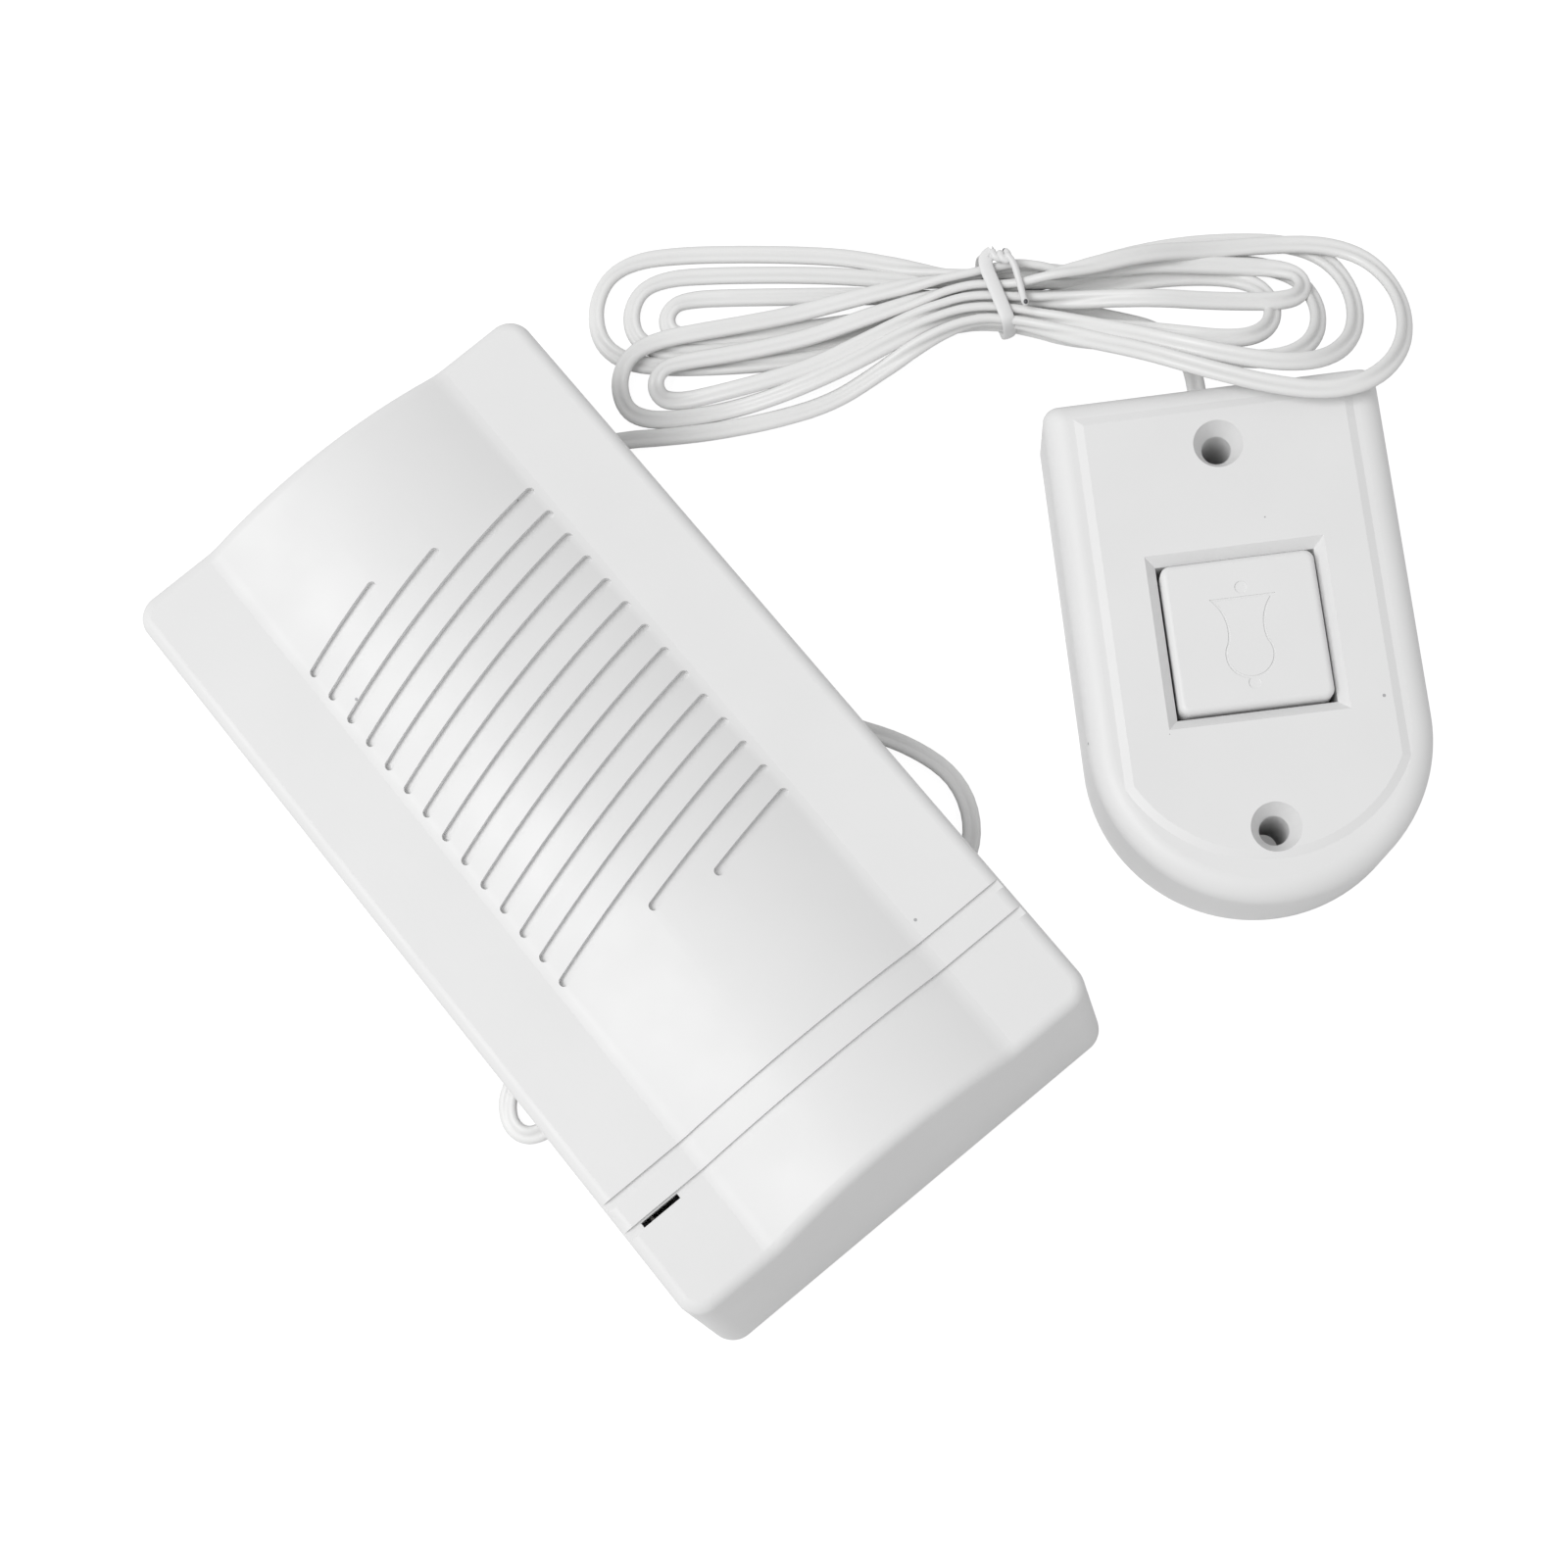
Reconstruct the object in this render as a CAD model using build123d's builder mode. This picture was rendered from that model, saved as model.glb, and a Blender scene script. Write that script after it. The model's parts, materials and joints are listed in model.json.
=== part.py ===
from build123d import *
import math
import os

# Wired doorbell: a chime box, a push-button unit and the tied bell wire between them.
# Millimetres, +Z up. Everything lies on the plane Z = 0, backs down. The origin is the centre of
# the pad under the chime box, whose long side runs along Y with its battery end towards -Y.

os.makedirs("parts", exist_ok=True)

# Chime box, outside
chime_length = 120.0
chime_width = 63.0
rim_height = 2.4
shoulder_height = 21.2
crown_height = 24.9
arch_half_width = 18.5
arch_blend = 5.0
cover_wall = 1.8
cover_corner = 3.2
cover_edge_round = 1.6
end_slope = 4.2

# Sound grooves and cross grooves in the cover
groove_count = 16
groove_pitch = 3.96
groove_width = 1.3
groove_depth = 0.9
groove_slant = 13.8
first_groove_y = 42.3
outer_groove_share = 0.37
second_groove_share = 0.61
cross_groove_width = 1.2
cross_groove_depth = 0.6
upper_cross_y = -38.5
lower_cross_y = -42.8
slit_length = 5.6
slit_width = 0.7
slit_x = -26.1

# Back plate
plate_thickness = 1.8
plate_gap = 0.3
foot_length = 9.0
foot_width = 6.0
foot_corner = 1.0
foot_x = 24.0
foot_y = 52.0
pad_radius = 6.0
keyhole_radius = 4.0
keyhole_slot_width = 4.0
keyhole_slot_rise = 7.5
keyhole_x = 12.5
keyhole_y = 45.0
peg_radius = 1.5
peg_clearance = 0.1
peg_depth = 5.0
post_radius = 3.0
post_height = 10.0
post_x = 25.6
post_low_y = -19.2
post_high_y = 36.0
bay_wall = 1.0
bay_wall_height = 9.0
cell_rib_inset = 1.0
cell_rib_height = 3.0
wire_hole_x = 1.5
wire_hole_y = -18.5
wire_hole_length = 11.0
wire_hole_width = 3.6

# Release tongue behind the slit
tongue_width = 3.2
tongue_x = -25.6
tongue_thickness = 0.7
tongue_setback = 1.1
tongue_tip_gap = 0.4
catch_depth = 3.7

# AA cells and their contacts
cell_radius = 7.25
cell_body_length = 49.5
cell_nub_radius = 2.75
cell_nub_length = 1.0
cell_gap = 1.1
cell_side_gap = 0.1
cell_seat_gap = 0.05
contact_sheet = 0.4
contact_width = 9.0
contact_bump = 0.5
bay_half_length = 28.0
battery_spring_wire = 0.7
battery_spring_radius = 3.2
battery_spring_turns = 3

# Loudspeaker
speaker_y = 12.6
speaker_radius = 25.0
speaker_flange = 0.6
speaker_flange_inner = 22.0
speaker_face_gap = 1.0
well_outer = 24.2
well_inner = 23.0
well_opening = 10.0
speaker_floor_z = 10.8
speaker_floor_hole = 8.0
basket_foot = 12.8
basket_windows = 4
basket_window_length = 12.0
basket_window_width = 5.0
basket_window_radius = 17.3
basket_window_round = 1.0
yoke_radius = 12.0
yoke_thickness = 1.4
yoke_seat_gap = 0.2
magnet_inner = 8.5
top_plate_inner = 7.7
top_plate_outer = 11.4
top_plate_thickness = 1.2
pole_radius = 6.5
coil_inner = 6.9
coil_outer = 7.3
coil_top_z = 12.4
coil_length = 5.4
cone_thickness = 0.5
cone_mouth = 19.5
cone_mouth_drop = 0.8
surround_gap = 0.4
surround_thickness = 0.3
surround_rise = 0.5
surround_step = 0.1
surround_outer = 22.3
gasket_inner = 22.5
gasket_outer = 23.8
gasket_thickness = 0.3
dust_cap_radius = 8.0
dust_cap_rise = 2.2
dust_cap_thickness = 0.4
speaker_screw_spread = 28.0
speaker_screw_angle = 58.0
speaker_washer_radius = 4.0
speaker_washer_thickness = 0.4
speaker_screw_head = 1.8
speaker_screw_head_height = 1.0

# Melody board
board_length = 48.0
board_width = 15.0
board_thickness = 1.6
board_y = 47.3
board_boss_height = 4.0
board_boss_radius = 2.5
board_boss_x = 21.2
screw_shaft_radius = 1.0
screw_hole_radius = 1.1
screw_head_radius = 2.1
screw_head_height = 1.3

# What is soldered on the board
chip_x = 3.0
chip_radius = 4.2
chip_height = 1.3
chip_round = 0.8
transistor_x = -6.0
transistor_radius = 2.3
transistor_height = 4.6
transistor_flat = 0.6
leg_radius = 0.3
leg_height = 1.5
leg_pitch = 1.27
leg_setback = 1.0
capacitor_x = 12.5
capacitor_radius = 2.6
capacitor_height = 7.0
capacitor_round = 0.4
resistor_x = -13.0
resistor_rows = (43.5, 47.3, 51.1)
resistor_radius = 1.1
resistor_length = 5.5
resistor_lead = 1.2
resistor_lift = 1.5

# Push-button unit, placed and turned beside the chime box
unit_x = 76.5
unit_y = -33.3
unit_turn = -33.1
unit_half_width = 21.7
unit_flat_y = 33.9
unit_round_y = -34.6
unit_height = 15.5
unit_wall = 2.0
unit_top = 2.2
unit_corner = 2.0
unit_edge_round = 3.0
plateau_rise = 0.4
plateau_half_width = 17.9
plateau_flat_y = 31.1
plateau_bend_y = -18.3
plateau_round_y = -29.3
plateau_lean = 70.0
screw_spread = 25.3
fixing_hole_radius = 1.9
fixing_head_radius = 3.2
fixing_cone_angle = 50.0
boss_radius = 4.0
cap_side = 19.6
cap_gap = 0.35
cap_proud = 0.45
cap_wall = 1.5
cap_edge_round = 0.8
cap_corner = 1.3
opening_bevel = 1.3
guide_wall = 1.2
guide_depth = 5.4
cap_lip = 0.9
cap_lip_height = 1.2
lip_gap = 0.1
cap_travel = 1.3
contact_clearance = 0.05
base_thickness = 2.0
base_gap = 0.2

# Contacts under the cap
strip_width = 5.0
strip_thickness = 0.5
strip_block_height = 1.6
strip_offset = 6.3
terminal_y = 14.5
rivet_height = 0.6
rivet_radius = 1.3
bridge_inner = 4.6
bridge_outer = 8.2
bridge_thickness = 0.4
spring_radius = 3.0
spring_wire = 0.5
spring_turns = 6

# Clamp on the bell wire inside the chime
clamp_x = 10.5
clamp_length = 12.0
clamp_width = 4.0
clamp_height = 3.6
clamp_peg_spread = 4.2
clamp_peg_radius = 1.2
clamp_peg_clearance = 0.08
clamp_peg_drop = 0.4
clamp_corner = 1.0
clamp_tunnel_gap = 0.25
wire_seat_gap = 0.2
speaker_screw_length = 6.0

# Wires inside the chime
lead_diameter = 1.0
lead_spacing = 1.3
lead_end_x = 18.8
lead_drop = 0.2

# Parts of the cap and the base
cap_roof = 1.8
spring_boss_radius = 3.9
spring_seat_radius = 2.4
spring_seat_height = 2.0
spring_length = 7.0
spring_end_gap = 0.05
pillar_radius = 0.9
pillar_spread = 9.0
strip_low_y = -3.5
strip_high_y = 18.0
terminal_head_radius = 2.1
terminal_head_height = 1.5
terminal_shaft = 2.2
notch_width = 3.0
notch_height = 4.4
notch_wire_z = 3.1
core_start_inset = 0.5

# Bell mark on the cap
mark_depth = 0.15
mark_line = 0.35
bell_mouth_half = 4.2
bell_mouth_rise = 1.5
bell_mouth_y = 4.6
bell_top_y = -6.2
bell_flare_half = 3.1
bell_side_half = 2.7
bell_side_y = -1.4
bell_clapper_radius = 0.8
bell_clapper_drop = 1.2
bell_knob_lap = 0.25

# Bell wire
wire_diameter = 1.6
core_diameter = 1.0
cord_bend_room = 0.1

# Hank of bell wire: its own frame has u along the loops, v across them and the tie in the middle
hank_x = 85.2
hank_y = 26.17
hank_turn = -43.85
waist_half = 2.5
waist_lift = 1.1
waist_fade = 8.0
layer_step = 3.1
lower_columns = (-1.1, -3.4, -5.7, -3.9, -1.3, -6.5)
upper_columns = (1.1, 3.4, 5.7, 3.9, 1.3)
first_layer_passes = 6
# Each loop: reach, height of its tip across the hank, width going out, width coming back, bow
left_loops = (
    (45.0, -5.0, 2.8, 2.8, 0.2),
    (50.0, -4.6, 4.9, 4.6, 0.2),
    (55.0, -4.2, 6.8, 6.2, 0.2),
    (50.5, -15.0, 4.8, 4.6, 0.5),
    (45.5, -15.0, 2.3, 2.4, 0.5),
)
right_loops = (
    (37.5, -0.5, 6.6, 7.2, 0.1),
    (43.5, -1.0, 8.8, 10.4, 0.1),
    (48.5, -1.5, 11.2, 14.4, 0.1),
    (41.5, 1.4, 2.4, 2.6, 0.1),
    (54.5, 0.0, 14.6, 18.6, 0.1),
)
waist_draw = 0.05
climb_share = 0.22
drop_low_v = -17.5
drop_band = 3.0
lean_start_u = 3.0
lean_run = 22.0
lean_high_v = 9.0
lean_band = 27.0
loop_shares = (0, 0.09, 0.18, 0.27, 0.37, 0.5, 0.63, 0.73, 0.82, 0.91)
over_start_u = 3.0
over_rise = 4.0
over_end_u = 22.0
over_fall = 12.0
straight_limit = 1e-6
way_step = 0.004
gap_sample = 1.0
gap_neighbours = 8.0
gap_reach = 3.0

# Tie round the middle of the hank
tie_width = 1.8
tie_thickness = 0.8
tie_gap = 0.3
tie_round = 1.2
tie_tail_diameter = 1.1
cord_exit_x = -6.0

# Small extras: how far a cutter runs out, how far joined shapes run into each other, spare depth
cut_margin = 1.0
merge_depth = 0.5
merge_lap = 0.1
hole_spare = 1.0

# Places that follow from the sizes above
cord_z = wire_diameter / 2
plate_top = rim_height + plate_thickness
cover_inner_shoulder = shoulder_height - cover_wall
plate_half_width = chime_width / 2 - cover_wall - plate_gap
plate_half_length = chime_length / 2 - cover_wall - plate_gap
end_rate = end_slope / (shoulder_height - rim_height)
end_lean = math.atan(end_rate)
cell_z = plate_top + cell_radius + cell_seat_gap
cell_room = cell_radius + cell_side_gap
cell_end_room = cell_room / math.cos(end_lean) + (cell_z - rim_height) * end_rate
cell_low_y = -chime_length / 2 + cover_wall + cell_end_room
cell_high_y = cell_low_y + 2 * cell_radius + cell_gap
bay_low_y = cell_low_y - cell_room
bay_high_y = cell_high_y + cell_room
tongue_y = lower_cross_y + tongue_setback
contact_face = bay_half_length - contact_sheet
cell_tip = contact_face - contact_bump
cell_back = cell_tip - cell_nub_length - cell_body_length
flange_top = cover_inner_shoulder - speaker_face_gap
flange_bottom = flange_top - speaker_flange
yoke_bottom = plate_top + yoke_seat_gap
yoke_top = yoke_bottom + yoke_thickness
top_plate_bottom = speaker_floor_z - top_plate_thickness
cone_mouth_z = flange_top - cone_mouth_drop
spread_x = speaker_screw_spread * math.cos(math.radians(speaker_screw_angle))
spread_y = speaker_screw_spread * math.sin(math.radians(speaker_screw_angle))
speaker_screw_places = [
    (side * spread_x, speaker_y + end * spread_y) for side in (-1, 1) for end in (-1, 1)
]
board_bottom = plate_top + board_boss_height
board_top = board_bottom + board_thickness
unit_plane = Plane(
    origin=(unit_x, unit_y, 0),
    x_dir=(math.cos(math.radians(unit_turn)), math.sin(math.radians(unit_turn)), 0),
    z_dir=(0, 0, 1),
)
unit_rim_top = unit_height - plateau_rise
unit_inner_top = unit_height - unit_top
opening_side = cap_side + 2 * cap_gap
guide_bottom = unit_inner_top - guide_depth
cap_top = unit_height + cap_proud
lip_top = guide_bottom - lip_gap
lip_bottom = lip_top - cap_lip_height
strip_bottom = base_thickness + strip_block_height
rivet_top = strip_bottom + strip_thickness + rivet_height
bridge_bottom = rivet_top + cap_travel + contact_clearance
bridge_top = bridge_bottom + bridge_thickness


# Shared shapes
def box_profile(half_width, bottom, shoulder, crown):
    """Face across the chime: upright sides, flat bands and the arch between them."""
    with BuildSketch(Plane.XZ) as profile:
        with BuildLine():
            Polyline(
                (-arch_half_width, shoulder),
                (-half_width, shoulder),
                (-half_width, bottom),
                (half_width, bottom),
                (half_width, shoulder),
                (arch_half_width, shoulder),
            )
            ThreePointArc((-arch_half_width, shoulder), (0, crown), (arch_half_width, shoulder))
        make_face()
        creases = profile.vertices().filter_by(lambda v: abs(abs(v.X) - arch_half_width) < 0.01)
        fillet(creases, arch_blend)
    return profile.sketch


def beyond_end(inset):
    """All that lies beyond the sloping battery end, moved in along the chime by an inset."""
    foot_y = inset - chime_length / 2 - rim_height * end_rate
    tall = 2 * crown_height
    with BuildPart() as block:
        with BuildSketch(Plane.YZ):
            with BuildLine():
                Polyline(
                    (foot_y, 0),
                    (foot_y + tall * end_rate, tall),
                    (-chime_length, tall),
                    (-chime_length, 0),
                    close=True,
                )
            make_face()
        extrude(amount=chime_width, both=True)
    return block.part


def unit_outline(half_width, flat_y, round_y, height):
    """D-shaped face of the push-button unit at a height: flat end, straight sides, round end."""
    bend_y = round_y + half_width
    with BuildSketch(unit_plane.offset(height)) as outline:
        with BuildLine():
            Polyline(
                (-half_width, bend_y),
                (-half_width, flat_y),
                (half_width, flat_y),
                (half_width, bend_y),
            )
            ThreePointArc((half_width, bend_y), (0, round_y), (-half_width, bend_y))
        make_face()
    return outline.sketch


def corner_radii(points):
    """Bend radius at each corner: 0.45 of the shorter run over the tangent of half the turn."""
    radii = []
    for before, corner, after in zip(points, points[1:], points[2:]):
        run_in = Vector(*corner) - Vector(*before)
        run_out = Vector(*after) - Vector(*corner)
        half_turn = math.radians(run_in.get_angle(run_out)) / 2
        radii.append(0.45 * min(run_in.length, run_out.length) / math.tan(half_turn))
    return radii


def round_wire(points, radii, diameter):
    """Round wire along straight runs joined by arcs of the given radii."""
    with BuildPart() as wire:
        with BuildLine() as path:
            FilletPolyline(*points, radius=radii)
        with BuildSketch(Plane(origin=path.line @ 0, z_dir=path.line % 0)):
            Circle(diameter / 2)
        sweep(path=path.line)
    return wire.part


def bent_wire(points, diameter, name):
    """Cord along hand-chosen points, each bend as large as its two runs allow."""
    radii = corner_radii(points)
    wire = round_wire(points, radii, diameter)
    with BuildLine() as route:
        FilletPolyline(*points, radius=radii)
    length = sum(edge.length for edge in route.edges())
    section = math.pi * diameter**2 / 4
    print(name, "radii", [round(radius, 1) for radius in radii])
    print(name, "length", round(length, 1), "length by volume", round(wire.volume / section, 1))
    return wire


def bell_face(inset):
    """Outline of the bell mark, drawn in by an inset all round."""
    mouth_half = bell_mouth_half - 2 * inset
    side_half = bell_side_half - inset
    mouth_y = bell_mouth_y - inset
    with BuildSketch(Plane.XY) as face:
        with BuildLine():
            Line((-mouth_half, mouth_y), (mouth_half, mouth_y))
            ThreePointArc(
                (mouth_half, mouth_y),
                (bell_flare_half - inset, bell_mouth_y - bell_mouth_rise),
                (side_half, bell_side_y),
            )
            ThreePointArc(
                (side_half, bell_side_y), (0, bell_top_y + inset), (-side_half, bell_side_y)
            )
            ThreePointArc(
                (-side_half, bell_side_y),
                (inset - bell_flare_half, bell_mouth_y - bell_mouth_rise),
                (-mouth_half, mouth_y),
            )
        make_face()
    return face.sketch


def on_unit(x, y, z):
    """A point of the push-button unit's own frame, as a point of the whole."""
    point = unit_plane.from_local_coords((x, y, z))
    return (point.X, point.Y, point.Z)


# Cutters that follow the cover's top: sound grooves and cross grooves
with BuildPart() as sound_grooves:
    full_length = 2 * arch_half_width / math.cos(math.radians(groove_slant))
    shares = [1.0] * groove_count
    shares[0] = outer_groove_share
    shares[1] = second_groove_share
    shares[-2] = second_groove_share
    shares[-1] = outer_groove_share
    with BuildSketch(Plane.XY.offset(shoulder_height - cover_wall)):
        for number, share in enumerate(shares):
            side = -1 if number < groove_count / 2 else 1
            shift = side * full_length * (1 - share) / 2
            groove_x = shift * math.cos(math.radians(groove_slant))
            row_y = first_groove_y - number * groove_pitch
            groove_y = row_y + shift * math.sin(math.radians(groove_slant))
            with Locations((groove_x, groove_y)):
                SlotOverall(share * full_length, groove_width, rotation=groove_slant)
    extrude(amount=crown_height)
    lowered = box_profile(
        chime_width / 2, rim_height, shoulder_height - groove_depth, crown_height - groove_depth
    )
    extrude(lowered, amount=chime_length / 2, both=True, mode=Mode.SUBTRACT)

with BuildPart() as cross_grooves:
    with BuildSketch(Plane.XY.offset(shoulder_height - cover_wall)):
        with Locations((0, upper_cross_y), (0, lower_cross_y)):
            Rectangle(chime_width + 2 * cut_margin, cross_groove_width)
    extrude(amount=crown_height)
    lowered = box_profile(
        chime_width / 2 + 2 * cut_margin,
        rim_height,
        shoulder_height - cross_groove_depth,
        crown_height - cross_groove_depth,
    )
    extrude(lowered, amount=chime_length / 2, both=True, mode=Mode.SUBTRACT)

# Room inside the cover
with BuildPart() as cover_room:
    extrude(
        box_profile(
            chime_width / 2 - cover_wall, rim_height, cover_inner_shoulder, crown_height - cover_wall
        ),
        amount=chime_length / 2 - cover_wall,
        both=True,
    )
    add(beyond_end(cover_wall), mode=Mode.SUBTRACT)

# Front cover of the chime
with BuildPart() as chime_cover:
    extrude(
        box_profile(chime_width / 2, rim_height, shoulder_height, crown_height),
        amount=chime_length / 2,
        both=True,
    )
    add(beyond_end(0), mode=Mode.SUBTRACT)
    mid_height = (rim_height + shoulder_height) / 2
    corner_edges = chime_cover.edges().filter_by(lambda e: abs(e.center().Z - mid_height) < 0.1)
    fillet(corner_edges, cover_corner)
    top_edges = chime_cover.edges().filter_by(
        lambda e: e.center().Z > shoulder_height - 0.1
        and (
            abs(e.center().X) > chime_width / 2 - cover_corner
            or e.center().Y > chime_length / 2 - cover_corner
            or e.center().Y < end_slope + cover_corner - chime_length / 2
        )
    )
    fillet(top_edges, cover_edge_round)
    add(cover_room.part, mode=Mode.SUBTRACT)
    add(sound_grooves.part, mode=Mode.SUBTRACT)
    add(cross_grooves.part, mode=Mode.SUBTRACT)
    with BuildSketch(Plane.XY.offset(cover_inner_shoulder - cut_margin)):
        with Locations((slit_x, lower_cross_y)):
            Rectangle(slit_length, slit_width)
    extrude(amount=cover_wall + 2 * cut_margin, mode=Mode.SUBTRACT)
    # Pegs that press into the back plate's posts
    with BuildSketch(Plane.XY.offset(plate_top + post_height - peg_depth)):
        for peg_y in (post_low_y, post_high_y):
            with Locations((-post_x, peg_y), (post_x, peg_y)):
                Circle(peg_radius)
    extrude(amount=cover_inner_shoulder + merge_depth - (plate_top + post_height - peg_depth))
    # Rib beside the release tongue
    rib_y = tongue_y + tongue_thickness + peg_clearance
    with BuildSketch(Plane.XY.offset(cover_inner_shoulder - catch_depth)):
        with Locations((tongue_x, rib_y)):
            Rectangle(tongue_width, tongue_thickness)
    extrude(amount=catch_depth + merge_depth)
chime_cover.part.label = "chime_cover"
export_step(chime_cover.part, "parts/chime_cover.step")

# Back plate of the chime, with everything moulded on it
with BuildPart() as chime_back_plate:
    with BuildSketch(Plane.XY.offset(rim_height)):
        RectangleRounded(2 * plate_half_width, 2 * plate_half_length, cover_corner - cover_wall)
    extrude(amount=plate_thickness)
    # Feet and the centre pad
    with BuildSketch(Plane.XY):
        with GridLocations(2 * foot_x, 2 * foot_y, 2, 2):
            RectangleRounded(foot_length, foot_width, foot_corner)
        Circle(pad_radius)
    extrude(amount=rim_height)
    # Battery bay walls
    bay_mid_y = (bay_low_y + bay_high_y) / 2
    bay_height_y = bay_high_y - bay_low_y
    with BuildSketch(Plane.XY.offset(plate_top)):
        with Locations((0, bay_mid_y)):
            Rectangle(2 * (bay_half_length + bay_wall), bay_height_y + 2 * bay_wall)
            Rectangle(2 * bay_half_length, bay_height_y, mode=Mode.SUBTRACT)
    extrude(amount=bay_wall_height)
    # Low rib between the cells
    with BuildSketch(Plane.XY.offset(plate_top)):
        with Locations((0, (cell_low_y + cell_high_y) / 2)):
            Rectangle(2 * (abs(cell_back) - cell_rib_inset), cell_gap)
    extrude(amount=cell_rib_height)
    # Release tongue behind the slit
    with BuildSketch(Plane.XY.offset(plate_top)):
        with Locations((tongue_x, tongue_y)):
            Rectangle(tongue_width, tongue_thickness)
    extrude(amount=cover_inner_shoulder - tongue_tip_gap - plate_top)
    # Posts for the cover's pegs
    with BuildSketch(Plane.XY.offset(plate_top)):
        for peg_y in (post_low_y, post_high_y):
            with Locations((-post_x, peg_y), (post_x, peg_y)):
                Circle(post_radius)
    extrude(amount=post_height)
    with BuildSketch(Plane.XY.offset(plate_top + post_height)):
        for peg_y in (post_low_y, post_high_y):
            with Locations((-post_x, peg_y), (post_x, peg_y)):
                Circle(peg_radius + peg_clearance)
    extrude(amount=-peg_depth - hole_spare, mode=Mode.SUBTRACT)
    # Speaker well with four gaps, and its screw bosses
    with BuildSketch(Plane.XY.offset(plate_top)):
        with Locations((0, speaker_y)):
            Circle(well_outer)
            Circle(well_inner, mode=Mode.SUBTRACT)
            Rectangle(2 * speaker_radius, well_opening, mode=Mode.SUBTRACT)
            Rectangle(well_opening, 2 * speaker_radius, mode=Mode.SUBTRACT)
    extrude(amount=flange_bottom - plate_top)
    with BuildSketch(Plane.XY.offset(plate_top)):
        with Locations(*speaker_screw_places):
            Circle(board_boss_radius)
    extrude(amount=flange_top - plate_top)
    with BuildSketch(Plane.XY.offset(flange_top)):
        with Locations(*speaker_screw_places):
            Circle(screw_hole_radius)
    extrude(amount=-speaker_screw_length - hole_spare, mode=Mode.SUBTRACT)
    # Pegs of the wire clamp
    with BuildSketch(Plane.XY.offset(plate_top)):
        with Locations((clamp_x, wire_hole_y)):
            with GridLocations(1, 2 * clamp_peg_spread, 1, 2):
                Circle(clamp_peg_radius)
    extrude(amount=clamp_height - clamp_peg_drop)
    # Room for the cover's sloping end
    add(beyond_end(cover_wall + plate_gap), mode=Mode.SUBTRACT)
    # Board bosses
    with BuildSketch(Plane.XY.offset(plate_top)):
        with Locations((-board_boss_x, board_y), (board_boss_x, board_y)):
            Circle(board_boss_radius)
    extrude(amount=board_boss_height)
    with BuildSketch(Plane.XY.offset(board_bottom)):
        with Locations((-board_boss_x, board_y), (board_boss_x, board_y)):
            Circle(screw_hole_radius)
    extrude(amount=-board_boss_height, mode=Mode.SUBTRACT)
    # Keyholes and the hole for the bell wire
    with BuildSketch(Plane.XY.offset(rim_height)):
        for side in (-1, 1):
            with Locations((side * keyhole_x, keyhole_y)):
                Circle(keyhole_radius)
            with Locations((side * keyhole_x, keyhole_y + keyhole_slot_rise / 2)):
                Rectangle(keyhole_slot_width, keyhole_slot_rise)
            with Locations((side * keyhole_x, keyhole_y + keyhole_slot_rise)):
                Circle(keyhole_slot_width / 2)
        with Locations((wire_hole_x, wire_hole_y)):
            SlotOverall(wire_hole_length, wire_hole_width)
    extrude(amount=plate_thickness, mode=Mode.SUBTRACT)
chime_back_plate.part.label = "chime_back_plate"
export_step(chime_back_plate.part, "parts/chime_back_plate.step")


# Loudspeaker, face up in its well
def ring_profile(points):
    """Half section of a round part about the speaker's upright axis."""
    with BuildSketch(Plane(origin=(0, speaker_y, 0), x_dir=(1, 0, 0), z_dir=(0, -1, 0))) as section:
        with BuildLine():
            Polyline(*points, close=True)
        make_face()
    return section.sketch


speaker_axis = Axis((0, speaker_y, 0), (0, 0, 1))

with BuildPart() as speaker_frame:
    basket_rim = speaker_flange_inner - speaker_flange
    revolve(
        ring_profile(
            [
                (speaker_radius, flange_bottom),
                (speaker_radius, flange_top),
                (basket_rim, flange_top),
                (basket_foot, speaker_floor_z + speaker_flange),
                (speaker_floor_hole, speaker_floor_z + speaker_flange),
                (speaker_floor_hole, speaker_floor_z),
                (basket_foot + speaker_flange, speaker_floor_z),
                (speaker_flange_inner, flange_bottom),
            ]
        ),
        axis=speaker_axis,
    )
    with BuildSketch(Plane.XY.offset(speaker_floor_z)):
        with Locations((0, speaker_y)):
            with PolarLocations(basket_window_radius, basket_windows, start_angle=45):
                RectangleRounded(basket_window_width, basket_window_length, basket_window_round)
    extrude(amount=flange_bottom - speaker_floor_z, mode=Mode.SUBTRACT)
speaker_frame.part.label = "speaker_frame"
export_step(speaker_frame.part, "parts/speaker_frame.step")

with BuildPart() as speaker_yoke:
    with BuildSketch(Plane.XY.offset(yoke_bottom)):
        with Locations((0, speaker_y)):
            Circle(yoke_radius)
    extrude(amount=yoke_thickness)
    with BuildSketch(Plane.XY.offset(yoke_top)):
        with Locations((0, speaker_y)):
            Circle(pole_radius)
    extrude(amount=speaker_floor_z - yoke_top)
speaker_yoke.part.label = "speaker_yoke"
export_step(speaker_yoke.part, "parts/speaker_yoke.step")

with BuildPart() as speaker_magnet:
    with BuildSketch(Plane.XY.offset(yoke_top)):
        with Locations((0, speaker_y)):
            Circle(yoke_radius)
            Circle(magnet_inner, mode=Mode.SUBTRACT)
    extrude(amount=top_plate_bottom - yoke_top)
speaker_magnet.part.label = "speaker_magnet"
export_step(speaker_magnet.part, "parts/speaker_magnet.step")

with BuildPart() as speaker_top_plate:
    with BuildSketch(Plane.XY.offset(top_plate_bottom)):
        with Locations((0, speaker_y)):
            Circle(top_plate_outer)
            Circle(top_plate_inner, mode=Mode.SUBTRACT)
    extrude(amount=top_plate_thickness)
speaker_top_plate.part.label = "speaker_top_plate"
export_step(speaker_top_plate.part, "parts/speaker_top_plate.step")

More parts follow.
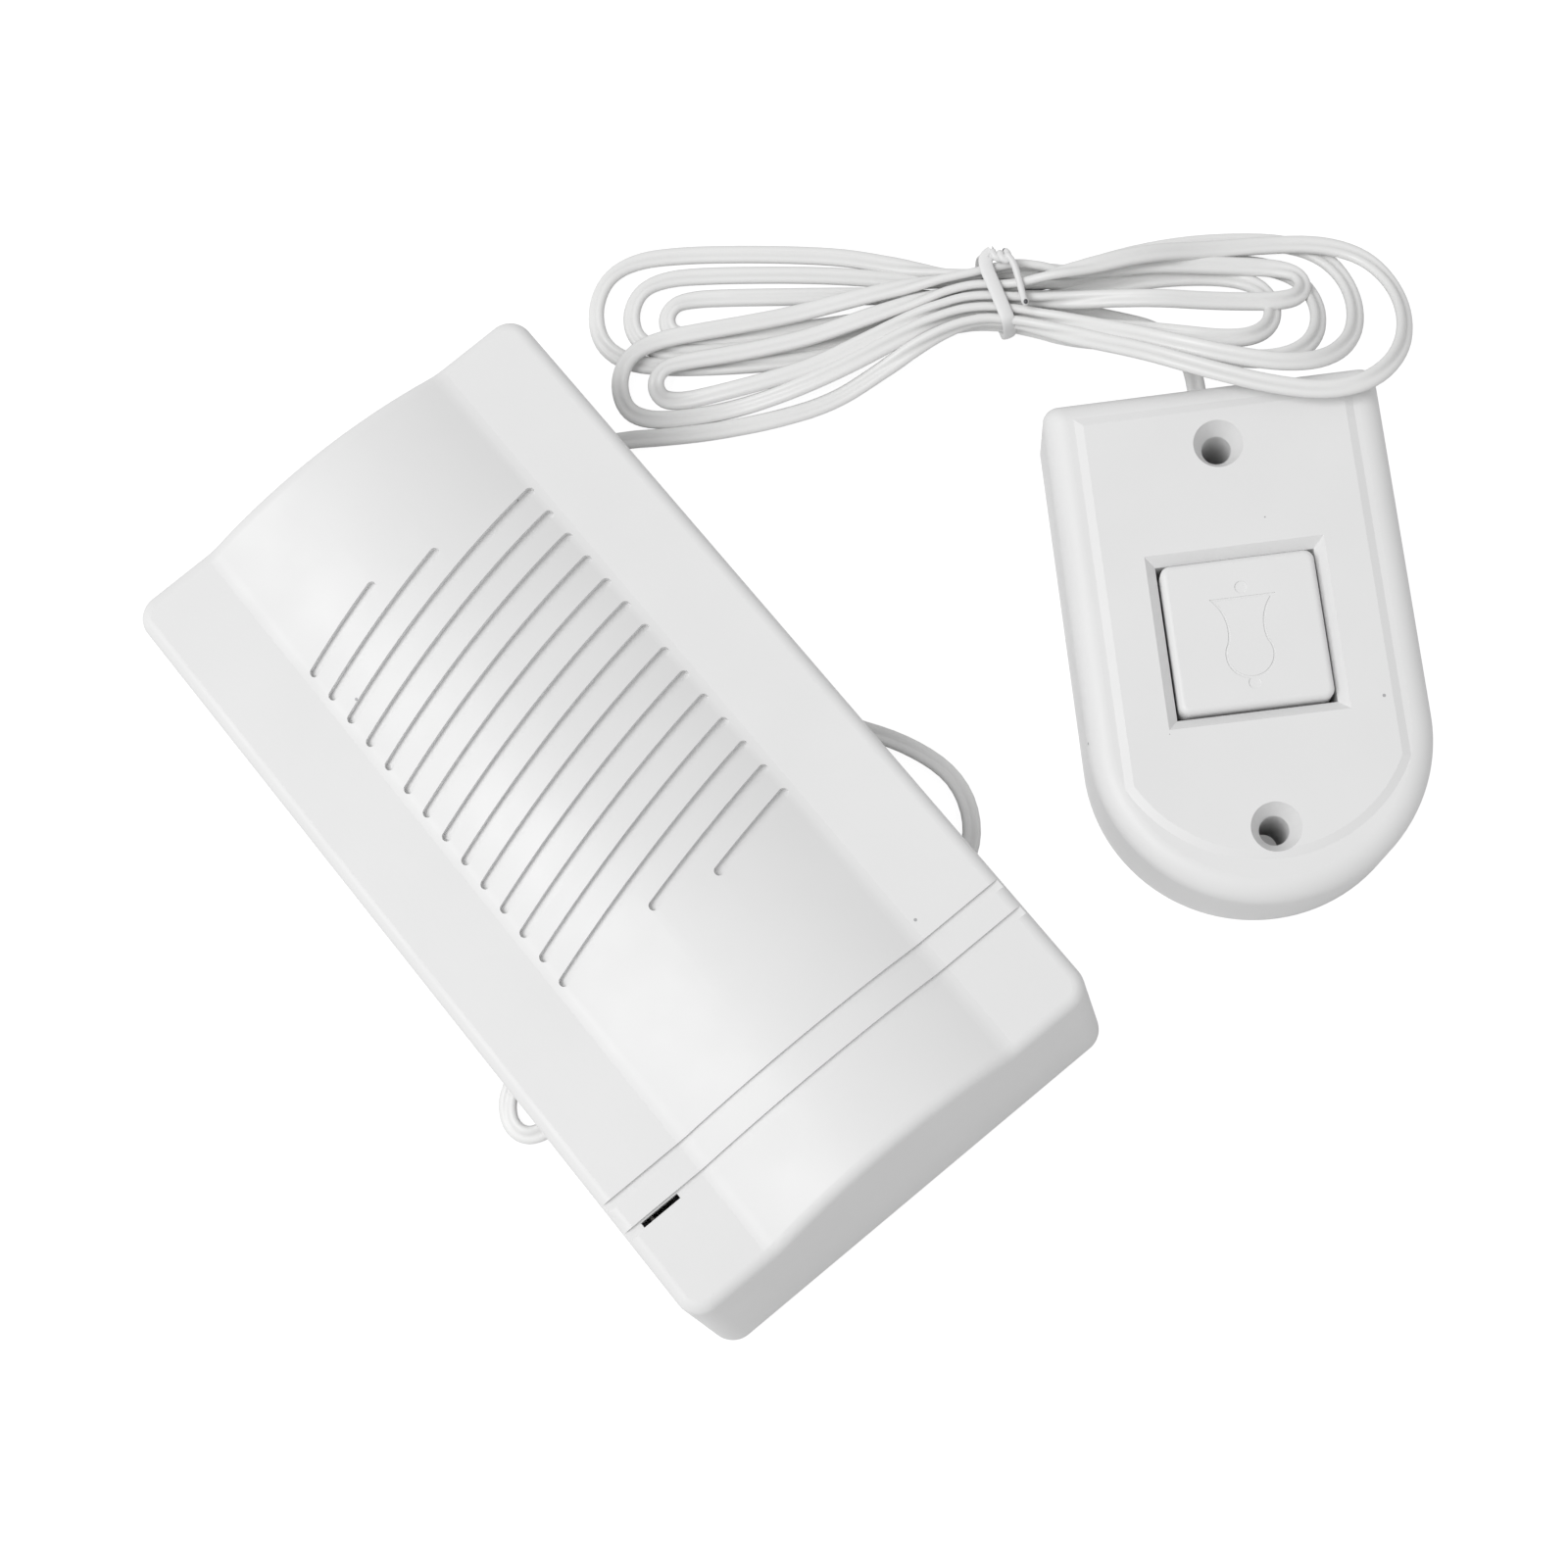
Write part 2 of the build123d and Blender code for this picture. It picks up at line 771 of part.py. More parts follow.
with BuildPart() as speaker_voice_coil:
    with BuildSketch(Plane.XY.offset(coil_top_z)):
        with Locations((0, speaker_y)):
            Circle(coil_outer)
            Circle(coil_inner, mode=Mode.SUBTRACT)
    extrude(amount=-coil_length)
speaker_voice_coil.part.label = "speaker_voice_coil"
export_step(speaker_voice_coil.part, "parts/speaker_voice_coil.step")

with BuildPart() as speaker_cone:
    revolve(
        ring_profile(
            [
                (coil_inner, coil_top_z),
                (coil_outer, coil_top_z),
                (cone_mouth, cone_mouth_z),
                (cone_mouth, cone_mouth_z + cone_thickness),
                (coil_outer, coil_top_z + cone_thickness),
                (coil_inner, coil_top_z + cone_thickness),
            ]
        ),
        axis=speaker_axis,
    )
speaker_cone.part.label = "speaker_cone"
export_step(speaker_cone.part, "parts/speaker_cone.step")

with BuildPart() as speaker_dust_cap:
    cone_climb = (cone_mouth_z - coil_top_z) / (cone_mouth - coil_outer)
    dome_foot_z = coil_top_z + cone_thickness + (dust_cap_radius - coil_outer) * cone_climb
    dome_radius = (dust_cap_radius**2 + dust_cap_rise**2) / (2 * dust_cap_rise)
    dome_centre_z = dome_foot_z + dust_cap_rise - dome_radius
    with BuildSketch(Plane.XY.offset(dome_foot_z)):
        with Locations((0, speaker_y)):
            Circle(dust_cap_radius)
    extrude(amount=dust_cap_rise)
    with Locations((0, speaker_y, dome_centre_z)):
        Sphere(dome_radius, mode=Mode.INTERSECT)
        Sphere(dome_radius - dust_cap_thickness, mode=Mode.SUBTRACT)
speaker_dust_cap.part.label = "speaker_dust_cap"
export_step(speaker_dust_cap.part, "parts/speaker_dust_cap.step")

with BuildPart() as speaker_surround:
    surround_inner = cone_mouth + surround_gap
    surround_crest = (surround_inner + basket_rim) / 2
    revolve(
        ring_profile(
            [
                (surround_inner, flange_top - surround_thickness),
                (surround_crest, flange_top + surround_rise - surround_thickness),
                (basket_rim + surround_step, flange_top),
                (surround_outer, flange_top),
                (surround_outer, flange_top + surround_thickness),
                (basket_rim + surround_step, flange_top + surround_thickness),
                (surround_crest, flange_top + surround_rise),
                (surround_inner, flange_top),
            ]
        ),
        axis=speaker_axis,
    )
speaker_surround.part.label = "speaker_surround"
export_step(speaker_surround.part, "parts/speaker_surround.step")

with BuildPart() as speaker_gasket:
    with BuildSketch(Plane.XY.offset(flange_top)):
        with Locations((0, speaker_y)):
            Circle(gasket_outer)
            Circle(gasket_inner, mode=Mode.SUBTRACT)
    extrude(amount=gasket_thickness)
speaker_gasket.part.label = "speaker_gasket"
export_step(speaker_gasket.part, "parts/speaker_gasket.step")

with BuildPart() as speaker_screws:
    with BuildSketch(Plane.XY.offset(flange_top)):
        with Locations(*speaker_screw_places):
            Circle(speaker_washer_radius)
    extrude(amount=speaker_washer_thickness)
    with BuildSketch(Plane.XY.offset(flange_top + speaker_washer_thickness)):
        with Locations(*speaker_screw_places):
            Circle(speaker_screw_head)
    extrude(amount=speaker_screw_head_height)
    with BuildSketch(Plane.XY.offset(flange_top)):
        with Locations(*speaker_screw_places):
            Circle(screw_shaft_radius)
    extrude(amount=-speaker_screw_length)
speaker_screws.part.label = "speaker_screws"
export_step(speaker_screws.part, "parts/speaker_screws.step")

# Melody board and what is soldered on it
with BuildPart() as melody_board:
    with BuildSketch(Plane.XY.offset(board_bottom)):
        with Locations((0, board_y)):
            Rectangle(board_length, board_width)
        with Locations((-board_boss_x, board_y), (board_boss_x, board_y)):
            Circle(screw_hole_radius, mode=Mode.SUBTRACT)
    extrude(amount=board_thickness)
melody_board.part.label = "melody_board"
export_step(melody_board.part, "parts/melody_board.step")

with BuildPart() as board_screws:
    with BuildSketch(Plane.XY.offset(board_top)):
        with Locations((-board_boss_x, board_y), (board_boss_x, board_y)):
            Circle(screw_head_radius)
    extrude(amount=screw_head_height)
    with BuildSketch(Plane.XY.offset(board_top)):
        with Locations((-board_boss_x, board_y), (board_boss_x, board_y)):
            Circle(screw_shaft_radius)
    extrude(amount=-board_thickness - board_boss_height + hole_spare)
board_screws.part.label = "board_screws"
export_step(board_screws.part, "parts/board_screws.step")

with BuildPart() as melody_chip:
    with BuildSketch(Plane.XY.offset(board_top)):
        with Locations((chip_x, board_y)):
            Circle(chip_radius)
    extrude(amount=chip_height)
    fillet(melody_chip.edges().group_by(Axis.Z)[-1], chip_round)
melody_chip.part.label = "melody_chip"
export_step(melody_chip.part, "parts/melody_chip.step")

with BuildPart() as board_transistor:
    with BuildSketch(Plane.XY.offset(board_top + leg_height)):
        with Locations((transistor_x, board_y)):
            Circle(transistor_radius)
        with Locations((transistor_x, board_y + transistor_radius + transistor_flat)):
            Rectangle(4 * transistor_radius, 2 * transistor_radius, mode=Mode.SUBTRACT)
    extrude(amount=transistor_height)
    with BuildSketch(Plane.XY.offset(board_top)):
        with Locations((transistor_x, board_y - leg_setback)):
            with GridLocations(leg_pitch, 1, 3, 1):
                Circle(leg_radius)
    extrude(amount=leg_height)
board_transistor.part.label = "board_transistor"
export_step(board_transistor.part, "parts/board_transistor.step")

with BuildPart() as board_capacitor:
    with BuildSketch(Plane.XY.offset(board_top)):
        with Locations((capacitor_x, board_y)):
            Circle(capacitor_radius)
    extrude(amount=capacitor_height)
    fillet(board_capacitor.edges().group_by(Axis.Z)[-1], capacitor_round)
board_capacitor.part.label = "board_capacitor"
export_step(board_capacitor.part, "parts/board_capacitor.step")

with BuildPart() as board_resistors:
    lead_z = board_top + resistor_lift
    for resistor_y in resistor_rows:
        lead_left = resistor_x - resistor_length / 2 - resistor_lead
        lead_right = resistor_x + resistor_length / 2 + resistor_lead
        lead_points = [
            (lead_left, resistor_y, board_top),
            (lead_left, resistor_y, lead_z),
            (lead_right, resistor_y, lead_z),
            (lead_right, resistor_y, board_top),
        ]
        add(round_wire(lead_points, [2 * leg_radius, 2 * leg_radius], 2 * leg_radius))
        with BuildSketch(Plane.YZ.offset(resistor_x - resistor_length / 2)):
            with Locations((resistor_y, lead_z)):
                Circle(resistor_radius)
        extrude(amount=resistor_length)
board_resistors.part.label = "board_resistors"
export_step(board_resistors.part, "parts/board_resistors.step")


# AA cells, their contacts and springs
def aa_cell(y, side):
    """AA cell lying along X, its nub towards the given side."""
    with BuildPart() as cell:
        with BuildSketch(Plane.YZ.offset(side * cell_back)):
            with Locations((y, cell_z)):
                Circle(cell_radius)
        extrude(amount=side * cell_body_length)
        with BuildSketch(Plane.YZ.offset(side * (cell_back + cell_body_length))):
            with Locations((y, cell_z)):
                Circle(cell_nub_radius)
        extrude(amount=side * cell_nub_length)
    return cell.part


with BuildPart() as battery_lower:
    add(aa_cell(cell_low_y, 1))
battery_lower.part.label = "battery_lower"
export_step(battery_lower.part, "parts/battery_lower.step")

with BuildPart() as battery_upper:
    add(aa_cell(cell_high_y, -1))
battery_upper.part.label = "battery_upper"
export_step(battery_upper.part, "parts/battery_upper.step")


def contact_plate(low_y, high_y, bump_y, side):
    """Sheet contact against an end wall of the bay, with an optional bump for a cell's nub."""
    with BuildPart() as plate:
        with BuildSketch(Plane.YZ.offset(side * contact_face)):
            with Locations(((low_y + high_y) / 2, cell_z)):
                Rectangle(high_y - low_y, contact_width)
        extrude(amount=side * contact_sheet)
        if bump_y is not None:
            with BuildSketch(Plane.YZ.offset(side * cell_tip)):
                with Locations((bump_y, cell_z)):
                    Circle(cell_nub_radius)
            extrude(amount=side * contact_bump)
    return plate.part


with BuildPart() as battery_link_plate:
    add(
        contact_plate(
            cell_low_y - contact_width / 2, cell_high_y + contact_width / 2, cell_high_y, -1
        )
    )
battery_link_plate.part.label = "battery_link_plate"
export_step(battery_link_plate.part, "parts/battery_link_plate.step")

with BuildPart() as battery_positive_plate:
    add(contact_plate(cell_low_y - contact_width / 2, cell_low_y + contact_width / 2, cell_low_y, 1))
battery_positive_plate.part.label = "battery_positive_plate"
export_step(battery_positive_plate.part, "parts/battery_positive_plate.step")

with BuildPart() as battery_negative_plate:
    add(contact_plate(cell_high_y - contact_width / 2, cell_high_y + contact_width / 2, None, 1))
battery_negative_plate.part.label = "battery_negative_plate"
export_step(battery_negative_plate.part, "parts/battery_negative_plate.step")

with BuildPart() as battery_springs:
    spring_room = contact_face - abs(cell_back) - battery_spring_wire - 2 * spring_end_gap
    for y, side in ((cell_low_y, -1), (cell_high_y, 1)):
        spring_start = side * (contact_face - battery_spring_wire / 2 - spring_end_gap)
        with BuildLine() as coil:
            Helix(
                pitch=spring_room / battery_spring_turns,
                height=spring_room,
                radius=battery_spring_radius,
                center=(spring_start, y, cell_z),
                direction=(-side, 0, 0),
            )
        with BuildSketch(Plane(origin=coil.line @ 0, z_dir=coil.line % 0)):
            Circle(battery_spring_wire / 2)
        sweep(path=coil.line, is_frenet=True)
battery_springs.part.label = "battery_springs"
export_step(battery_springs.part, "parts/battery_springs.step")


# Wires inside the chime
with BuildPart() as battery_leads:
    lead_low_z = board_bottom - lead_drop
    lead_start_z = cell_z + contact_width / 2 + lead_drop
    negative_route = [
        (contact_face + contact_sheet / 2, cell_high_y, lead_start_z),
        (27.2, cell_high_y + 0.3, 17.9),
        (26.0, bay_high_y - 2.4, 17.9),
        (22.8, bay_high_y + 1.2, 14.6),
        (20.2, bay_high_y + 5.4, 8.9),
        (19.9, -14.0, lead_low_z),
        (24.4, -6.5, lead_low_z),
        (27.1, 5.0, lead_low_z + 0.2),
        (27.2, 18.0, lead_low_z + 0.2),
        (24.6, 28.0, lead_low_z),
        (20.3, 33.6, lead_low_z),
        (19.2, 37.4, 10.4),
        (lead_end_x, 41.0, 12.6),
        (lead_end_x, 42.0, board_top + 0.25),
    ]
    positive_route = [
        (contact_face + contact_sheet / 2, cell_low_y, lead_start_z),
        (28.2, cell_low_y + 0.6, 17.9),
        (28.9, cell_high_y - cell_radius + 0.2, 17.8),
        (28.6, bay_high_y - 3.4, 17.7),
        (24.8, bay_high_y + 1.0, 14.8),
    ]
    positive_route += [(x + lead_spacing, y, z) for x, y, z in negative_route[4:]]
    add(round_wire(negative_route, corner_radii(negative_route), lead_diameter))
    add(round_wire(positive_route, corner_radii(positive_route), lead_diameter))
battery_leads.part.label = "battery_leads"
export_step(battery_leads.part, "parts/battery_leads.step")

with BuildPart() as speaker_leads:
    for side in (-1, 1):
        lead_route = [
            (side * 1.2, 30.68, 14.42),
            (side * 1.2, 32.6, 12.1),
            (side * 1.3, 35.8, 11.0),
            (side * 1.6, 39.0, 12.4),
            (side * 1.6, 41.2, 12.4),
            (side * 1.6, 41.6, board_top + 0.15),
        ]
        add(round_wire(lead_route, corner_radii(lead_route), lead_diameter))
speaker_leads.part.label = "speaker_leads"
export_step(speaker_leads.part, "parts/speaker_leads.step")

with BuildPart() as bell_wire_in_chime:
    wire_seat_z = plate_top + wire_diameter / 2 + wire_seat_gap
    indoor_route = [
        (cord_exit_x, wire_hole_y, cord_z),
        (-2.8, wire_hole_y, cord_z),
        (2.2, wire_hole_y, 3.5),
        (7.0, wire_hole_y, wire_seat_z + 0.25),
        (16.0, wire_hole_y + 0.1, wire_seat_z),
        (22.2, -14.6, wire_seat_z),
        (26.2, -5.5, wire_seat_z),
        (27.2, 6.0, wire_seat_z),
        (27.2, 18.0, wire_seat_z),
        (24.8, 28.5, wire_seat_z),
        (20.0, 34.2, wire_seat_z),
        (18.3, 39.0, wire_seat_z),
        (17.7, 42.0, wire_seat_z + 0.4),
        (17.6, 42.6, board_bottom - 0.2),
    ]
    add(bent_wire(indoor_route, wire_diameter, "bell_wire_in_chime"))
bell_wire_in_chime.part.label = "bell_wire_in_chime"
export_step(bell_wire_in_chime.part, "parts/bell_wire_in_chime.step")

with BuildPart() as wire_clamp:
    with BuildSketch(Plane.XY.offset(plate_top)):
        with Locations((clamp_x, wire_hole_y)):
            RectangleRounded(clamp_width, clamp_length, clamp_corner)
    extrude(amount=clamp_height)
    with BuildSketch(Plane.YZ.offset(clamp_x - clamp_width)):
        tunnel_half = wire_diameter / 2 + clamp_tunnel_gap
        with Locations((wire_hole_y, plate_top)):
            Rectangle(2 * tunnel_half, 2 * (wire_diameter + wire_seat_gap + clamp_tunnel_gap))
    extrude(amount=2 * clamp_width, mode=Mode.SUBTRACT)
    with BuildSketch(Plane.XY.offset(plate_top)):
        with Locations((clamp_x, wire_hole_y)):
            with GridLocations(1, 2 * clamp_peg_spread, 1, 2):
                Circle(clamp_peg_radius + clamp_peg_clearance)
    extrude(amount=clamp_height, mode=Mode.SUBTRACT)
wire_clamp.part.label = "wire_clamp"
export_step(wire_clamp.part, "parts/wire_clamp.step")

# Push-button unit
with BuildPart() as button_housing:
    extrude(unit_outline(unit_half_width, unit_flat_y, unit_round_y, 0), amount=unit_rim_top)
    upright = button_housing.edges().filter_by(Axis.Z).filter_by(GeomType.LINE)
    flat_corners = upright.filter_by(lambda e: unit_plane.to_local_coords(e.center()).Y > 0)
    fillet(flat_corners, unit_corner)
    fillet(button_housing.faces().filter_by(Axis.Z).sort_by(Axis.Z)[-1].edges(), unit_edge_round)
    # Raised field around the cap
    with BuildSketch(unit_plane.offset(unit_rim_top)) as field:
        with BuildLine():
            Polyline(
                (plateau_half_width, plateau_bend_y),
                (plateau_half_width, plateau_flat_y),
                (-plateau_half_width, plateau_flat_y),
                (-plateau_half_width, plateau_bend_y),
            )
            ThreePointArc(
                (-plateau_half_width, plateau_bend_y),
                (0, plateau_round_y),
                (plateau_half_width, plateau_bend_y),
            )
        make_face()
    extrude(amount=-merge_depth)
    extrude(field.sketch, amount=plateau_rise, taper=plateau_lean)
    # Hollow inside
    extrude(
        unit_outline(
            unit_half_width - unit_wall, unit_flat_y - unit_wall, unit_round_y + unit_wall, 0
        ),
        amount=unit_inner_top,
        mode=Mode.SUBTRACT,
    )
    # Guide that the cap runs in, and the screw bosses
    with BuildSketch(unit_plane.offset(guide_bottom)):
        Rectangle(opening_side + 2 * guide_wall, opening_side + 2 * guide_wall)
    extrude(amount=unit_inner_top - guide_bottom + merge_lap)
    with BuildSketch(unit_plane):
        with Locations((0, -screw_spread), (0, screw_spread)):
            Circle(boss_radius)
    extrude(amount=unit_inner_top + merge_lap)
    with BuildSketch(unit_plane.offset(guide_bottom)):
        Rectangle(opening_side, opening_side)
    extrude(amount=unit_height, mode=Mode.SUBTRACT)
    with BuildSketch(unit_plane.offset(unit_height)):
        Rectangle(opening_side + 2 * opening_bevel, opening_side + 2 * opening_bevel)
    extrude(amount=-opening_bevel, taper=45, mode=Mode.SUBTRACT)
    # Countersunk fixing holes
    with Locations(unit_plane.offset(unit_height)):
        with Locations((0, -screw_spread), (0, screw_spread)):
            CounterSinkHole(
                fixing_hole_radius, fixing_head_radius, counter_sink_angle=fixing_cone_angle
            )
    # Notch where the bell wire enters
    with BuildSketch(unit_plane):
        with Locations((0, unit_flat_y - unit_wall / 2)):
            Rectangle(notch_width, 2 * unit_wall)
    extrude(amount=notch_height, mode=Mode.SUBTRACT)
button_housing.part.label = "button_housing"
export_step(button_housing.part, "parts/button_housing.step")

with BuildPart() as button_base:
    extrude(
        unit_outline(
            unit_half_width - unit_wall - base_gap,
            unit_flat_y - unit_wall - base_gap,
            unit_round_y + unit_wall + base_gap,
            0,
        ),
        amount=base_thickness,
    )
    with BuildSketch(unit_plane):
        with Locations((0, -screw_spread), (0, screw_spread)):
            Circle(boss_radius + base_gap)
    extrude(amount=base_thickness, mode=Mode.SUBTRACT)
    with BuildSketch(unit_plane.offset(base_thickness)):
        with Locations((0, (strip_low_y + strip_high_y) / 2)):
            with GridLocations(2 * strip_offset, 1, 2, 1):
                Rectangle(strip_width, strip_high_y - strip_low_y)
    extrude(amount=strip_block_height)
    with BuildSketch(unit_plane.offset(base_thickness)):
        Circle(spring_seat_radius)
    extrude(amount=spring_seat_height)
    with BuildSketch(unit_plane.offset(strip_bottom)):
        with Locations((-strip_offset, terminal_y), (strip_offset, terminal_y)):
            Circle(screw_hole_radius)
    extrude(amount=-terminal_shaft, mode=Mode.SUBTRACT)
button_base.part.label = "button_base"
export_step(button_base.part, "parts/button_base.step")

with BuildPart() as push_cap:
    with BuildSketch(unit_plane.offset(lip_bottom)):
        RectangleRounded(cap_side, cap_side, cap_corner)
    extrude(amount=cap_top - lip_bottom)
    fillet(push_cap.faces().filter_by(Axis.Z).sort_by(Axis.Z)[-1].edges(), cap_edge_round)
    with BuildSketch(unit_plane.offset(lip_bottom)):
        Rectangle(opening_side + 2 * cap_lip, opening_side + 2 * cap_lip)
    extrude(amount=cap_lip_height)
    with BuildSketch(unit_plane.offset(lip_bottom)):
        Rectangle(cap_side - 2 * cap_wall, cap_side - 2 * cap_wall)
    extrude(amount=cap_top - cap_roof - lip_bottom, mode=Mode.SUBTRACT)
    spring_top = base_thickness + spring_length
    with BuildSketch(unit_plane.offset(spring_top + spring_end_gap)):
        Circle(spring_boss_radius)
    extrude(amount=cap_top - cap_roof - spring_top)
    with BuildSketch(unit_plane.offset(bridge_top)):
        with GridLocations(pillar_spread, pillar_spread, 2, 2):
            Circle(pillar_radius)
    extrude(amount=cap_top - cap_roof - bridge_top + merge_lap)
    # Bell mark, mouth towards the flat end
    with BuildSketch(unit_plane.offset(cap_top)):
        add(bell_face(0))
        add(bell_face(mark_line), mode=Mode.SUBTRACT)
        with Locations((0, bell_mouth_y + bell_clapper_drop)):
            Circle(bell_clapper_radius)
        with Locations((0, bell_top_y + bell_knob_lap - bell_clapper_radius)):
            Circle(bell_clapper_radius)
    extrude(amount=-mark_depth, mode=Mode.SUBTRACT)
push_cap.part.label = "push_cap"
export_step(push_cap.part, "parts/push_cap.step")

with BuildPart() as contact_bridge:
    with BuildSketch(unit_plane.offset(bridge_bottom)):
        Circle(bridge_outer)
        Circle(bridge_inner, mode=Mode.SUBTRACT)
    extrude(amount=bridge_thickness)
contact_bridge.part.label = "contact_bridge"
export_step(contact_bridge.part, "parts/contact_bridge.step")

with BuildPart() as return_spring:
    spring_foot = base_thickness + spring_wire / 2
    with BuildLine() as spring_line:
        Helix(
            pitch=(spring_length - spring_wire) / spring_turns,
            height=spring_length - spring_wire,
            radius=spring_radius,
            center=(unit_x, unit_y, spring_foot),
        )
    with BuildSketch(Plane(origin=spring_line.line @ 0, z_dir=spring_line.line % 0)):
        Circle(spring_wire / 2)
    sweep(path=spring_line.line, is_frenet=True)
return_spring.part.label = "return_spring"
export_step(return_spring.part, "parts/return_spring.step")

with BuildPart() as contact_strips:
    with BuildSketch(unit_plane.offset(strip_bottom)):
        with Locations((0, (strip_low_y + strip_high_y) / 2)):
            with GridLocations(2 * strip_offset, 1, 2, 1):
                Rectangle(strip_width, strip_high_y - strip_low_y)
        with Locations((-strip_offset, terminal_y), (strip_offset, terminal_y)):
            Circle(screw_hole_radius, mode=Mode.SUBTRACT)
    extrude(amount=strip_thickness)
    with BuildSketch(unit_plane.offset(strip_bottom + strip_thickness)):
        with Locations((-strip_offset, 0), (strip_offset, 0)):
            Circle(rivet_radius)
    extrude(amount=rivet_height)
contact_strips.part.label = "contact_strips"
export_step(contact_strips.part, "parts/contact_strips.step")

with BuildPart() as terminal_screws:
    strip_top = strip_bottom + strip_thickness
    with BuildSketch(unit_plane.offset(strip_top)):
        with Locations((-strip_offset, terminal_y), (strip_offset, terminal_y)):
            Circle(terminal_head_radius)
    extrude(amount=terminal_head_height)
    with BuildSketch(unit_plane.offset(strip_top)):
        with Locations((-strip_offset, terminal_y), (strip_offset, terminal_y)):
            Circle(screw_shaft_radius)
    extrude(amount=-terminal_shaft)
terminal_screws.part.label = "terminal_screws"
export_step(terminal_screws.part, "parts/terminal_screws.step")

with BuildPart() as bell_wire_cores_in_button:
    core_end_z = strip_top + core_diameter / 2 + 0.05
    for side in (-1, 1):
        core_route = [
            on_unit(side * 0.6, unit_flat_y - core_start_inset - 0.2, notch_wire_z),
            on_unit(side * 0.9, 31.0, notch_wire_z),
            on_unit(side * 5.6, 27.6, notch_wire_z),
            on_unit(side * 6.6, 22.6, notch_wire_z + 0.4),
            on_unit(side * strip_offset, strip_high_y + 0.8, core_end_z),
            on_unit(side * strip_offset, terminal_y + terminal_head_radius + 0.1, core_end_z),
        ]
        add(round_wire(core_route, corner_radii(core_route), core_diameter))
bell_wire_cores_in_button.part.label = "bell_wire_cores_in_button"
export_step(bell_wire_cores_in_button.part, "parts/bell_wire_cores_in_button.step")


# Bell wire outside the housings
hank_plane = Plane(
    origin=(hank_x, hank_y, 0),
    x_dir=(math.cos(math.radians(hank_turn)), math.sin(math.radians(hank_turn)), 0),
    z_dir=(0, 0, 1),
)


def ease(x):
    """Smooth step from 0 to 1."""
    x = min(max(x, 0.0), 1.0)
    return x * x * (3 - 2 * x)


def waist_rise(u):
    """How much the tie under the hank lifts the wires."""
    return waist_lift * (1 - ease((abs(u) - waist_half) / waist_fade))


def hank_height(u, v, layer):
    """Height of a wire's centre: layers at the left, and at the right a lean on the unit's edge."""
    rise = wire_diameter / 2 + waist_rise(u)
    if u < 0:
        return rise + layer_step * layer * ease((v - drop_low_v) / drop_band)
    lean_height = unit_height + 2 * cord_bend_room
    lean = lean_height * ease((u - lean_start_u) / lean_run) * ease((lean_high_v - v) / lean_band)
    return rise + layer_step * layer + lean


def waist_pass(number):
    """Place across the waist and layer of a pass, counted from 0: even ones run to the left."""
    columns = lower_columns if number % 2 == 0 else upper_columns
    return columns[number // 2], 0 if number < first_layer_passes else 1


def loop_point(side, number, share):
    """Point of a loop at a share of its way, from one pass of the waist to the next."""
    reach, tip, width_out, width_back, bow = (left_loops if side < 0 else right_loops)[number]
    first_pass = 2 * number if side < 0 else 2 * number + 1
    column_in, layer_in = waist_pass(first_pass)
    column_out, layer_out = waist_pass(first_pass + 1)
    out = math.sin(math.pi * share) ** 2
    draw = 1 - math.exp(-out / waist_draw)
    axis_v = tip * ((1 + bow) * out - bow * out**2) * draw
    width = width_out if share < 0.5 else width_back
    tip_round = math.sqrt(1 - math.exp(-2 * reach * (1 - out) / width))
    fan = width * out * tip_round * draw * (1 if share < 0.5 else -1)
    change = share - math.sin(2 * math.pi * share) / (2 * math.pi)
    v = axis_v + column_in + (column_out - column_in) * change + side * fan
    u = side * (waist_half + (reach - waist_half) * out)
    layer = layer_in + (layer_out - layer_in) * ease((share - 0.5) / climb_share)
    if side > 0 and number == len(right_loops) - 1 and share < 0.5:
        layer += ease((u - over_start_u) / over_rise) * (1 - ease((u - over_end_u) / over_fall))
    return Vector(u, v, hank_height(u, v, layer))


def unit_way(points, place):
    """Direction of a row of points at one of them."""
    before = points[max(place - 1, 0)]
    after = points[min(place + 1, len(points) - 1)]
    return (after - before).normalized()


def biarc(start, start_way, end, end_way):
    """Two arcs, each a tangent of the next, from one point and direction to another."""
    chord = end - start
    lean = chord.dot(start_way + end_way)
    spread = 2 * (1 - start_way.dot(end_way))
    reach = chord.dot(chord) / (lean + math.sqrt(lean**2 + spread * chord.dot(chord)))
    joint = (start + end + (start_way - end_way) * reach) * 0.5
    for first, last, way in ((start, joint, start_way), (joint, end, None)):
        span = (last - first).normalized()
        if way is None:
            way = span * (2 * span.dot(end_way)) - end_way
        if span.dot(way) > 1 - straight_limit:
            Line(first, last)
        else:
            TangentArc(first, last, tangent=way)


